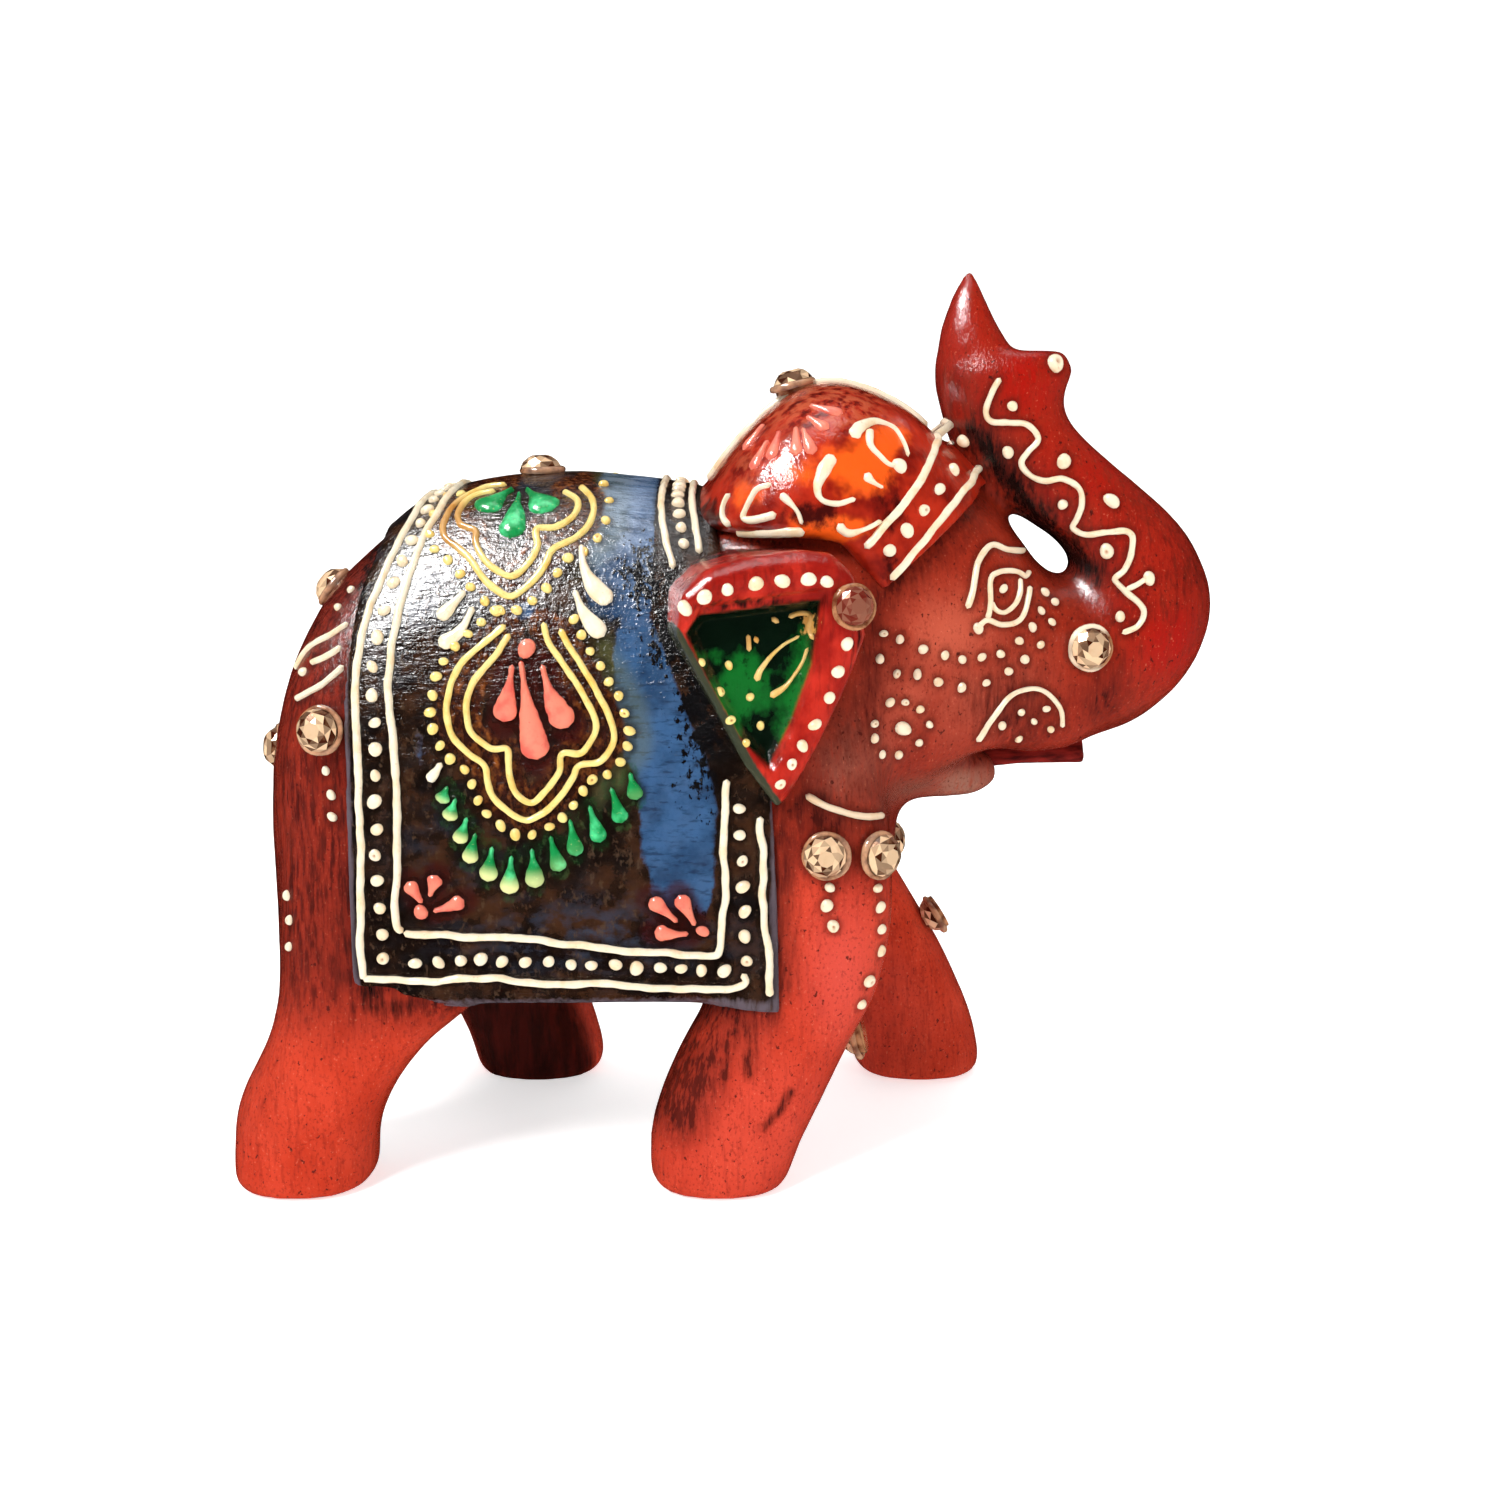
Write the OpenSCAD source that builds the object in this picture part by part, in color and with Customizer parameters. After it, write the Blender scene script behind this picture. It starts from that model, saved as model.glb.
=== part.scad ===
// Carved and painted wooden elephant with a raised trunk, a saddle cloth, a cap,
// piped relief lines and beads, and glued faceted stones.
// Origin: on the ground, in the middle of the outline. +X towards the trunk, +Z up.
// The figure is symmetric about the XZ plane except for its walking legs.

/* [Body] */
// Half width of the torso at its widest
torso_half_w = 23; // [21:0.5:24]
// Height of the widest level of the torso above the ground
torso_mid_z = 46; // [42:1:50]
// Distance of each leg's centre from the middle plane
leg_y = 16.8; // [15.5:0.1:17.5]
// Half width of a leg, across the figure
leg_half_w = 7.3; // [6.5:0.1:8]

/* [Saddle cloth and cap] */
// How far the saddle cloth stands out of the torso
cloth_thick = 1.5; // [1:0.1:2.2]
// Cloth thickness where it lies over a shoulder (mm)
shoulder_cover = 0.6; // [0.5:0.1:1]
// Height of the saddle cloth's lower edge above the ground
cloth_hem_z = 22.3; // [21:0.1:24]
// How far the cap's brow band stands out of the head
cap_thick = 1.1; // [0.8:0.1:1.6]

/* [Ears] */
// Distance of the ear's outer face from the middle plane, at the ear's root
ear_root_y = 22.6; // [21.5:0.1:23.5]
// Angle by which the ear flares away from the neck, in degrees
ear_flare = 15; // [10:1:18]
// Depth of the hollow inside the ear's rims
ear_hollow = 1; // [0.4:0.1:1.6]

/* [Piped paste] */
// Diameter of a paste bead
bead_d = 1.7; // [1.2:0.1:2.1]
// Width of a piped line
line_w = 1.1; // [0.8:0.1:1.5]
// Diameter of a small paste bead
small_bead_d = 1.4; // [1:0.1:1.6]
// Height of a piped line above the wood
line_h = 0.5; // [0.3:0.1:0.8]

/* [Stones] */
// Diameter of a stone
stone_d = 4.7; // [3.8:0.1:5.2]
// Height of a stone above its paste bed
stone_h = 1.8; // [1.4:0.1:2.6]
// Number of facets around a stone
stone_facets = 8; // [6:1:12]

/* [Hidden] */

// Half of the depth of a prism that is cut across the whole figure
reach = 32;
// Thickness of the thin plates that the lofts are stretched between
plate = 0.05;

// Torso sections along X: [x, lowest z, highest z, share of the half width]
torso_sections = [
    [-51.8, 27, 45, 0.5], [-50.6, 23, 53.5, 0.74], [-48.3, 21.8, 61.6, 0.88],
    [-44.5, 21.8, 68, 0.96], [-39, 21.8, 73, 1], [-33, 21.8, 76.2, 1],
    [-26, 21.8, 77.7, 1], [-17, 21.8, 78.2, 1], [-8, 21.8, 77.3, 0.985],
    [0, 21.8, 76, 0.98], [6, 21.8, 74.5, 0.93], [12, 25, 66, 0.82],
    [16.5, 29, 52, 0.67], [19.3, 32, 42, 0.4]
];
// Head sections along X: [x, lowest z, highest z, half width]
head_sections = [
    [-3, 44, 76, 19.6], [4, 43, 79, 20], [10, 42.5, 80.5, 19.6], [16, 42.6, 81, 18.2],
    [22, 43.5, 80.5, 16.2], [27, 45, 78.6, 14], [31, 46.8, 75.2, 12.2],
    [35, 47, 70.2, 10.6], [39, 47.2, 67, 9.4], [42, 48, 66, 8.6]
];
// Lower jaw sections along X: [x, lowest z, highest z, half width]
jaw_sections = [
    [11, 41.8, 50, 12], [22, 41.5, 48, 9.5], [28.8, 42.1, 46.9, 7], [31, 43.8, 46.5, 5]
];
// Cap sections along X: [x, lowest z, highest z, half width]
cap_sections = [
    [-3.8, 68, 76.6, 13], [0, 66, 81.8, 17], [3.5, 66, 85.8, 18.8],
    [7.5, 65, 88.9, 19.6], [12, 64, 89.9, 19.2], [16, 62, 88.9, 17.8],
    [20.5, 60, 86.6, 15.6], [24.5, 60, 83, 13], [28, 60, 79.8, 10.5],
    [31, 60, 76.6, 9]
];
// Trunk knuckles: [x, z, radius in side view, half width]
trunk_knuckles = [
    [38, 57.3, 9.7, 8.8], [43.4, 58.1, 9.6, 8.4], [46.6, 60.9, 9.5, 8],
    [48.1, 63.8, 9, 7.6], [47.2, 67.8, 8.1, 7.1], [44.2, 72.3, 6.8, 6.6],
    [40, 76.2, 6.3, 6.2], [35.6, 80, 6.3, 6], [31.3, 84.4, 6.7, 5.8]
];
// Flared end of the trunk and its finger: [z, lowest x, highest x, half width]
trunk_mouth = [
    [85, 24.3, 37.9, 5.6], [88, 23.6, 38.3, 5.6], [91, 23.4, 39.4, 5.3], [93, 23.7, 38.2, 4.3]
];
trunk_finger = [
    [92.9, 23.7, 32.4, 4.3], [96, 24.2, 30.4, 3.5], [99, 25.3, 28.9, 2.4], [102, 26.8, 27.6, 0.6]
];

// Leg sections, from the sole up: [z, x of the centre, half length along X, half width]
right_rear_leg = [
    [0, -48.6, 7.4, 0.96], [1.1, -48.6, 8, 1], [5, -48.5, 8.3, 1], [9, -47.8, 8.7, 1],
    [13, -45.6, 8.9, 1], [17, -42.8, 9.4, 1], [22, -38.9, 12, 0.96], [32, -37.4, 12.8, 0.92],
    [50, -38, 9, 0.75]
];
left_rear_leg = [
    [0, -25.6, 7.7, 0.96], [1.1, -25.6, 8.4, 1], [5, -26.4, 8.9, 1], [9, -28, 9.2, 1],
    [13, -30.2, 9.5, 1], [17, -32.4, 10, 1], [22, -36, 12.4, 0.96], [32, -37.4, 12.8, 0.92],
    [50, -38, 9, 0.75]
];
right_front_leg = [
    [0, -1, 7.4, 0.96], [1.1, -1, 8, 1], [5, -0.4, 9, 1], [9, 1, 9.6, 1],
    [14, 3.1, 9.7, 1], [18, 5, 9.6, 1], [22, 7.4, 9.5, 0.96], [30, 8.8, 9.9, 0.92],
    [40, 8.4, 10.2, 0.84], [54, 8, 7, 0.6]
];
left_front_leg = [
    [0, 24.8, 7.7, 0.96], [1.1, 24.7, 8.4, 1], [5, 24, 8.9, 1], [11, 21.8, 8.9, 1],
    [17, 19, 8.8, 1], [22, 15.8, 9.1, 0.96], [30, 10.6, 9.6, 0.92],
    [40, 8.4, 10.2, 0.84], [54, 8, 7, 0.6]
];

// ---------------------------------------------------------------- helpers

// Point of a superellipse at angle a, with a soft (n near 2) or boxy (n above 3) outline
function curve(a, n) = sign(a) * pow(abs(a), 2 / n);
function oval_points(rx, ry, n, count = 24) =
    [for (i = [0 : count - 1]) let (a = 360 * i / count) [rx * curve(cos(a), n), ry * curve(sin(a), n)]];

// Half width of a section at height z: round above its widest level, boxy below it
upper_n = 2.6;
lower_n = 5;
function share(t, n) = pow(max(0, 1 - pow(min(1, abs(t)), n)), 1 / n);
function half_width_at(z, low, mid, high, half) =
    half * (z > mid ? share((z - mid) / (high - mid), upper_n) : share((mid - z) / (mid - low), lower_n));

// Outline of one section, in the plane across the figure
function section_points(low, mid, high, half, n_low, count = 24) = [
    for (i = [0 : count - 1]) let (a = 360 * i / count, up = sin(a) >= 0)
        [half * curve(cos(a), up ? upper_n : n_low),
         mid + (up ? high - mid : mid - low) * curve(sin(a), up ? upper_n : n_low)]
];

module section_plate(x, low, mid, high, half, n_low) {
    translate([x, 0, 0]) rotate([90, 0, 90]) linear_extrude(plate)
        polygon(section_points(low, mid, high, half, n_low));
}

// Stretches a skin over neighbouring sections, grown outwards by grow
module loft_x(sections, half_scale, grow, n_low) {
    for (i = [0 : len(sections) - 2]) hull() {
        for (s = [sections[i], sections[i + 1]]) {
            low = s[1] - grow;
            high = s[2] + grow;
            end_push = (s == sections[0] ? -grow : 0) + (s == sections[len(sections) - 1] ? grow : 0);
            section_plate(s[0] + end_push, low, mid_of(s), high, s[3] * half_scale + grow, n_low);
        }
    }
}
// Widest level of a section, where the section reaches that high and low
function mid_of(s) = min(max(torso_mid_z, s[1] + 0.3 * (s[2] - s[1])), s[1] + 0.62 * (s[2] - s[1]));

// Draws its children, and their mirror image on the left side
module both_sides() {
    children();
    mirror([0, 1, 0]) children();
}

// Turns a drawing of the side view (x, z) into a prism right across the figure
module cross_prism() {
    translate([0, reach, 0]) rotate([90, 0, 0]) linear_extrude(2 * reach) children();
}

// A piped line through points of the side view
module stroke(points, width = line_w) {
    for (i = [0 : len(points) - 2]) hull() {
        translate(points[i]) circle(d = width, $fn = 6);
        translate(points[i + 1]) circle(d = width, $fn = 6);
    }
}
// A closed outline of constant width along the edge of a shape in the side view
module outline_of(width = line_w) {
    difference() {
        offset(delta = width / 2) children();
        offset(delta = -width / 2) children();
    }
}
// A teardrop from its thin end to its round end
module drop(thin, fat, thin_d = 0.7, fat_d = 2.4) {
    hull() {
        translate(thin) circle(d = thin_d, $fn = 6);
        translate(fat) circle(d = fat_d, $fn = 8);
    }
}

// ---------------------------------------------------------------- wood

module torso(grow = 0, n_low = lower_n) {
    loft_x(torso_sections, torso_half_w, grow, n_low);
}
module head(grow = 0) {
    loft_x(head_sections, 1, grow, 3);
}
module jaw() {
    loft_x(jaw_sections, 1, 0, 3);
}

module leg(sections, side, grow = 0) {
    for (i = [0 : len(sections) - 2]) hull() {
        for (s = [sections[i], sections[i + 1]])
            translate([s[1], side * leg_y, s[0]]) linear_extrude(plate)
                polygon(oval_points(s[2] + grow, leg_half_w * s[3] + grow, 2.5));
    }
}

module knuckle(k, grow) {
    translate([k[0], 0, k[1]]) scale([k[2] + grow, k[3] + grow, k[2] + grow]) sphere(r = 1, $fn = 18);
}
module trunk_plate(s, grow) {
    translate([(s[1] + s[2]) / 2, 0, s[0] - plate]) linear_extrude(plate)
        polygon(oval_points((s[2] - s[1]) / 2 + grow, s[3] + grow, 2.4, 16));
}
module trunk(grow = 0) {
    for (i = [0 : len(trunk_knuckles) - 2]) hull() {
        knuckle(trunk_knuckles[i], grow);
        knuckle(trunk_knuckles[i + 1], grow);
    }
    hull() {
        knuckle(trunk_knuckles[len(trunk_knuckles) - 1], grow);
        trunk_plate(trunk_mouth[0], grow);
    }
    for (stack = [trunk_mouth, trunk_finger]) for (i = [0 : len(stack) - 2]) hull() {
        trunk_plate(stack[i], grow);
        trunk_plate(stack[i + 1], grow);
    }
}

// Low relief tail down the middle of the rump: [x, z, radius]
tail_points = [[-47, 63, 1.7], [-49.8, 52, 1.8], [-50.8, 40, 1.8], [-50.8, 30, 1.9], [-50.4, 23.5, 2.6]];
module tail() {
    for (i = [0 : len(tail_points) - 2]) hull() {
        for (p = [tail_points[i], tail_points[i + 1]]) translate([p[0], 0, p[1]]) sphere(r = p[2], $fn = 10);
    }
}

// Slim leaf-shaped gap between the trunk and the forehead
gap_centre = [36.3, 71.2];
gap_length = 12;
gap_width = 2.4;
gap_tilt = -43;
module leaf_gap() {
    arc_r = (pow(gap_length / 2, 2) + pow(gap_width / 2, 2)) / gap_width;
    cross_prism() translate(gap_centre) rotate(gap_tilt) intersection() {
        translate([0, arc_r - gap_width / 2]) circle(r = arc_r, $fn = 64);
        translate([0, gap_width / 2 - arc_r]) circle(r = arc_r, $fn = 64);
    }
}
// Slit of the mouth, between the lower jaw and the trunk's root
module mouth_slit() {
    cross_prism() polygon([[25, 46.7], [32.5, 45.2], [32.5, 47.2], [27, 47.3]]);
}

module carved_body() {
    color([0.66, 0.13, 0.09]) difference() {
        union() {
            torso();
            head();
            jaw();
            trunk();
            tail();
            leg(right_rear_leg, -1);
            leg(left_rear_leg, 1);
            leg(right_front_leg, -1);
            leg(left_front_leg, 1);
        }
        leaf_gap();
        mouth_slit();
    }
}

// Saddle cloth in side view
cloth_outline = [
    [-40.8, cloth_hem_z], [-40.4, 57], [-39.6, 66], [-38, 73], [-35.4, 83], [-2.6, 83],
    [-1.4, 74], [1, 66], [4.6, 47], [5.3, 35], [5.6, cloth_hem_z]
];
cloth_n = 9;
// The cloth lies on the barrel of the body and thinly over the two shoulders
module cloth_skin(grow) {
    torso(cloth_thick + grow, cloth_n);
    leg(right_front_leg, -1, shoulder_cover + grow);
    leg(left_front_leg, 1, shoulder_cover + grow);
}
module saddle_cloth() {
    color([0.07, 0.09, 0.16]) difference() {
        intersection() {
            cloth_skin(0);
            cross_prism() polygon(cloth_outline);
        }
        carved_body();
    }
}

// Cap in side view: its side hem runs back from the ear's root, its brow band slants forward
cap_outline = [[-6, 74.3], [12, 73], [16.9, 67.8], [30.2, 79], [32, 92], [-6, 92]];
module cap_skin(grow) {
    loft_x(cap_sections, 1, grow, 3);
    head(cap_thick + grow);
}
module head_cap() {
    color([0.8, 0.22, 0.08]) difference() {
        intersection() {
            cap_skin(0);
            cross_prism() polygon(cap_outline);
        }
        carved_body();
    }
}

// Ear in side view, before it is flared
ear_outline = [
    [-5.6, 64.2], [-5, 68.3], [-2.6, 70.8], [1.6, 72], [7.8, 72.6], [11, 72.2], [13.4, 70],
    [14.9, 63.4], [12.8, 58], [9.6, 51.6], [6.8, 47], [5.3, 45.2], [1.8, 50], [-1, 55.4]
];
ear_inner = [
    [-4.8, 64], [-3, 67.2], [10.4, 68.6], [9, 60.4], [6.8, 54.4], [4.4, 49.2], [1.2, 53.4], [-2.4, 60]
];
ear_root_x = 15;
ear_depth = 11;
ear_edge = 0.9;
// Puts a drawing of the ear's outer face on the flared ear, from depth below it up to rise above it
module on_ear(rise, depth) {
    translate([ear_root_x, -ear_root_y, 0]) rotate([0, 0, ear_flare]) translate([-ear_root_x, depth, 0])
        rotate([90, 0, 0]) linear_extrude(depth + rise) children();
}
module right_ear() {
    color([0.6, 0.08, 0.07]) difference() {
        hull() {
            on_ear(-ear_edge, ear_depth) polygon(ear_outline);
            on_ear(0, ear_edge) offset(delta = -ear_edge) polygon(ear_outline);
        }
        on_ear(1, ear_hollow) polygon(ear_inner);
        carved_body();
        saddle_cloth();
    }
}
module left_ear() {
    mirror([0, 1, 0]) right_ear();
}

tongue_sections = [[25.5, 45.9, 47, 4], [34, 45.5, 47.7, 4.2], [40, 45.5, 48.3, 3.8], [41.8, 45.4, 49, 3.4]];
module tongue() {
    color([0.45, 0.03, 0.05]) difference() {
        loft_x(tongue_sections, 1, 0, 4);
        carved_body();
    }
}

// ---------------------------------------------------------------- surfaces

// Distance of the torso's side from the middle plane
function torso_y(x, z, grow = 0) = let (
    low = lookup(x, [for (s = torso_sections) [s[0], s[1]]]) - grow,
    high = lookup(x, [for (s = torso_sections) [s[0], s[2]]]) + grow,
    half = lookup(x, [for (s = torso_sections) [s[0], s[3]]]) * torso_half_w + grow,
    mid = lookup(x, [for (s = torso_sections) [s[0], mid_of(s)]])
) half_width_at(z, low, mid, high, half);
function section_y(sections, x, z, grow = 0) = let (
    low = lookup(x, [for (s = sections) [s[0], s[1]]]) - grow,
    high = lookup(x, [for (s = sections) [s[0], s[2]]]) + grow,
    half = lookup(x, [for (s = sections) [s[0], s[3]]]) + grow,
    mid = lookup(x, [for (s = sections) [s[0], mid_of(s)]])
) half_width_at(z, low, mid, high, half);
function cloth_y(x, z) = torso_y(x, z, cloth_thick);
function head_y(x, z) = section_y(head_sections, x, z);
function cap_y(x, z) = max(section_y(cap_sections, x, z), section_y(head_sections, x, z, cap_thick));
function leg_face_y(sections, x, z) = let (
    centre = lookup(z, [for (s = sections) [s[0], s[1]]]),
    half = lookup(z, [for (s = sections) [s[0], s[2]]]),
    width = lookup(z, [for (s = sections) [s[0], s[3]]]) * leg_half_w
) leg_y + width * share((x - centre) / half, 2.5);
// Height of the cloth's top above a point of the ground
function cloth_top_z(x, y) = let (
    high = lookup(x, [for (s = torso_sections) [s[0], s[2]]]) + cloth_thick,
    half = lookup(x, [for (s = torso_sections) [s[0], s[3]]]) * torso_half_w + cloth_thick,
    mid = lookup(x, [for (s = torso_sections) [s[0], mid_of(s)]])
) mid + (high - mid) * share(y / half, upper_n);

// ---------------------------------------------------------------- piped paste

cream = [0.93, 0.85, 0.66];
yellow = [0.86, 0.66, 0.2];
green = [0.1, 0.5, 0.25];
pink = [0.9, 0.4, 0.33];
bead_sink = 0.25;

// A bead of paste at a point of the right side, sunk a little into the wood
module bead(x, y, z, d = bead_d) {
    translate([x, -(y - bead_sink), z]) sphere(d = d, $fn = 16);
}
// Points at an even pitch along a broken line
function walk(points, pitch) = [
    for (i = [0 : len(points) - 2])
        let (a = points[i], b = points[i + 1], n = max(1, round(norm(b - a) / pitch)))
            for (k = [0 : n - 1]) a + (b - a) * k / n
];
// Points on an oval arc in the side view
function arc_points(centre, rx, rz, from, to, count) =
    [for (i = [0 : count - 1]) let (a = from + (to - from) * i / (count - 1))
        centre + [rx * cos(a), rz * sin(a)]];

// Raises a side-view drawing out of the saddle cloth, on both sides
module cloth_relief() {
    difference() {
        intersection() {
            cloth_skin(line_h);
            cross_prism() children();
        }
        cloth_skin(0);
    }
}
module cap_relief() {
    difference() {
        intersection() {
            cap_skin(line_h);
            cross_prism() children();
        }
        cap_skin(0);
        carved_body();
    }
}
module face_relief() {
    difference() {
        intersection() {
            union() {
                head(line_h);
                trunk(line_h);
            }
            cross_prism() children();
        }
        carved_body();
    }
}

border_outer = [
    [-34.4, 82], [-36.6, 74], [-38.5, 66.5], [-39.3, 57], [-39.5, 25.2], [4.2, 25],
    [4.3, 35], [3.6, 47], [0, 66], [-2.6, 74], [-3.5, 82]
];
border_inner = [
    [-29.6, 82], [-31.4, 74], [-33.5, 65.5], [-34.7, 56], [-35.2, 29.6], [-0.8, 29.3],
    [-0.7, 35], [-1.4, 47], [-5, 64], [-6.7, 74], [-7.6, 82]
];
border_middle = [
    [-33.6, 75.2], [-35.6, 66], [-36.8, 56.5], [-37.2, 27.4], [1.7, 27.2],
    [1.8, 35], [1.1, 47]
];
module saddle_border_lines() {
    color(cream) cloth_relief() {
        stroke(border_outer);
        stroke(border_inner);
    }
}
module saddle_border_beads() {
    color(cream) both_sides() {
        for (p = walk(border_middle, 3.3)) bead(p[0], cloth_y(p[0], p[1]), p[1]);
    }
    color(cream) for (x = [-31.8, -5.2]) for (y = [-9, -4.5, 0, 4.5, 9])
        translate([x, y, cloth_top_z(x, y) - bead_sink]) sphere(d = bead_d, $fn = 16);
}

// A spade with two round lobes and a pointed tip that hangs down
module spade(centre, lobe, spread, drop_to) {
    for (side = [-1, 1]) translate(centre + [side * spread, 0]) circle(r = lobe, $fn = 14);
    translate(centre + [0, lobe * 0.55]) circle(r = lobe, $fn = 14);
    polygon([centre + [-spread, -lobe * 0.9], centre + [spread, -lobe * 0.9], [centre[0], drop_to]]);
    translate(centre + [-spread, -lobe * 0.9]) square([2 * spread, lobe]);
}
upper_centre = [-21.8, 74.6];
lower_centre = [-20.4, 54.5];
outline_gap = 2;
module medallion_lines(centre, lobe, spread, drop_to) {
    outline_of() spade(centre, lobe, spread, drop_to);
    outline_of() offset(delta = outline_gap) spade(centre, lobe, spread, drop_to);
}
module upper_medallion_outlines() {
    color(yellow) cloth_relief() medallion_lines(upper_centre, 2.6, 3.6, 68.6);
}
module lower_medallion_outlines() {
    color(yellow) cloth_relief() medallion_lines(lower_centre, 3.9, 3.3, 45);
}
module upper_medallion_petals() {
    color(green) cloth_relief() {
        drop([-21.8, 76.6], [-21.8, 71.6]);
        drop([-22.8, 76.4], [-25.6, 74]);
        drop([-20.8, 76.4], [-18, 74]);
    }
}
module lower_medallion_petals() {
    color(pink) cloth_relief() {
        translate([-20.8, 61.2]) circle(d = 1.7, $fn = 12);
        drop([-21.6, 59.8], [-23.8, 55]);
        drop([-20.7, 59.4], [-20, 50.4], 0.7, 2.6);
        drop([-20, 59.8], [-17, 54.3]);
    }
}
module medallion_beads() {
    color(yellow) both_sides() {
        around_lower = arc_points(lower_centre, 10.8, 9.6, -35, 215, 22);
        under_upper = arc_points(upper_centre, 10.2, 7.6, 195, 345, 13);
        for (p = concat(around_lower, under_upper)) bead(p[0], cloth_y(p[0], p[1]), p[1], small_bead_d);
    }
}
module fringe_drops() {
    centre = [-20.4, 52];
    top_r = 11.4;
    last = 12;
    color(green) cloth_relief() {
        for (i = [0 : last]) {
            way = [cos(187 + i * 13.8), sin(187 + i * 13.8)];
            hang = 4 + 1.4 * sin(180 * i / last);
            drop(centre + top_r * way, centre + (top_r + hang) * way, 0.8, 1.9);
        }
    }
}
module corner_sprigs() {
    color(pink) cloth_relief() {
        for (corner = [[-33.4, 31.6, 1], [-2.6, 31.2, -1]]) for (a = [12, 45, 80]) {
            way = [corner[2] * cos(a), sin(a)];
            drop([corner[0], corner[1]] + 1.2 * way, [corner[0], corner[1]] + 5.2 * way, 0.8, 1.9);
        }
    }
}
module comma_strokes() {
    color(cream) cloth_relief() {
        drop([-27.2, 70.4], [-32, 67.8], 0.7, 1.7);
        drop([-26.2, 68.2], [-30.8, 64.8], 0.7, 1.7);
        drop([-16.4, 70.4], [-11.8, 67], 0.7, 1.7);
        drop([-17.4, 68.2], [-12.8, 63.6], 0.7, 1.7);
    }
}

module cap_ridge_line() {
    color(cream) difference() {
        intersection() {
            cap_skin(line_h);
            translate([-4, -line_w / 2, 70]) cube([27.5, line_w, 24]);
        }
        cap_skin(0);
        carved_body();
    }
}
module cap_scrolls() {
    color(cream) cap_relief() {
        stroke(arc_points([16.4, 81.6], 3, 3, -60, 230, 8));
        stroke([[17.9, 79], [14.4, 76.4], [12, 74.6]]);
        stroke(arc_points([9.8, 80.2], 1.9, 1.9, 60, 270, 6));
        stroke([[9.8, 78.3], [8, 76.6], [4.4, 77.4]]);
        stroke([[0.4, 79.4], [1.6, 76.4], [4.4, 77.4]]);
    }
}
module cap_petals() {
    color(pink) cap_relief() {
        drop([5, 86.6], [2, 82.6], 0.7, 2);
        drop([7.6, 86.2], [6.6, 82.6], 0.7, 2);
        drop([10.2, 86.6], [12.2, 83.6], 0.7, 2);
    }
}
band_inner = [[12.9, 70.6], [24.5, 84]];
band_outer = [[17.3, 69.1], [28.9, 79.1]];
module brow_band_lines() {
    color(cream) cap_relief() {
        stroke(band_inner);
        stroke(band_outer);
    }
}
module brow_band_beads() {
    low = (band_inner[0] + band_outer[0]) / 2;
    high = (band_inner[1] + band_outer[1]) / 2;
    color(cream) both_sides() {
        for (p = walk([low, high], 2.5)) bead(p[0], cap_y(p[0], p[1]), p[1]);
    }
}

// Puts a bead on the ear's outer face
module ear_bead(p, sink) {
    translate([ear_root_x, -ear_root_y, 0]) rotate([0, 0, ear_flare])
        translate([p[0] - ear_root_x, sink, p[1]]) sphere(d = bead_d, $fn = 16);
}
module ear_rim_beads() {
    color(cream) both_sides() {
        for (p = arc_points([2.8, 44], 14, 26.2, 119, 62, 7)) ear_bead(p, bead_sink);
        for (p = walk([[12.2, 65], [11.6, 60.6], [6.2, 49.4], [5.8, 48.6]], 2.5)) ear_bead(p, bead_sink);
    }
}
module ear_leaves() {
    color(yellow) both_sides() on_ear(line_h - ear_hollow, 0.2 + ear_hollow - line_h) {
        stroke([[3.1, 58.9], [3.7, 60.4], [5.5, 62.2], [7.4, 63.4]], 0.8);
        stroke([[4.6, 57.2], [6.3, 58.4], [7.6, 60.4], [8.3, 62]], 0.8);
    }
}

trunk_wave = [
    [30, 90], [28.9, 87], [29.9, 84.9], [33, 84.9], [34.3, 83.2], [33, 80.4], [35.6, 78.6], [39.2, 77.6],
    [39.8, 75.6], [40.2, 72.8], [44.8, 72.9], [45.6, 70.6], [43.7, 67.6], [47.1, 64.6], [44.7, 61.6]
];
module trunk_waves() {
    color(cream) face_relief() stroke(trunk_wave);
}
// Beads on the trunk: [x, z, distance from the middle plane]
trunk_bead_spots = [
    [31.6, 87, 5.6], [35.2, 83.4, 5.4], [38, 80.8, 5.2], [43.2, 76.8, 4.8], [42.6, 70.8, 5.8], [38.2, 90.4, 4]
];
module trunk_beads() {
    color(cream) both_sides() for (p = trunk_bead_spots) bead(p[0], p[2], p[1]);
}
module eye_outlines() {
    color(cream) face_relief() {
        stroke(arc_points([31, 67.4], 3.6, 2.6, 20, 345, 12), 0.8);
        stroke([[26.8, 65], [28, 70.6], [33.6, 71.8]], 0.8);
        stroke([[34.4, 66.6], [31, 63.4], [27.4, 62.6]], 0.8);
        translate([31, 67.4]) circle(d = 1.6, $fn = 12);
    }
}
module face_beads() {
    color(cream) both_sides() {
        low_row = arc_points([19, 84], 26, 26, 262, 316, 9);
        high_row = arc_points([19, 84], 23, 23, 268, 312, 8);
        for (p = concat(low_row, high_row)) bead(p[0], head_y(p[0], p[1]), p[1], small_bead_d);
    }
}
module cheek_rosettes() {
    rosette = [19.4, 51.8];
    color(cream) both_sides() {
        bead(rosette[0], head_y(rosette[0], rosette[1]), rosette[1], 2.3);
        for (a = [0 : 45 : 315]) {
            p = rosette + 3.3 * [cos(a), sin(a)];
            bead(p[0], head_y(p[0], p[1]), p[1], small_bead_d);
        }
    }
}
module mouth_arches() {
    arch = [33.6, 50];
    color(cream) face_relief() {
        stroke(arc_points(arch, 4.8, 5, 0, 185, 10));
        for (p = arc_points(arch, 2.4, 2.6, 10, 170, 4)) translate(p) circle(d = 1.2, $fn = 10);
    }
}
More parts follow.
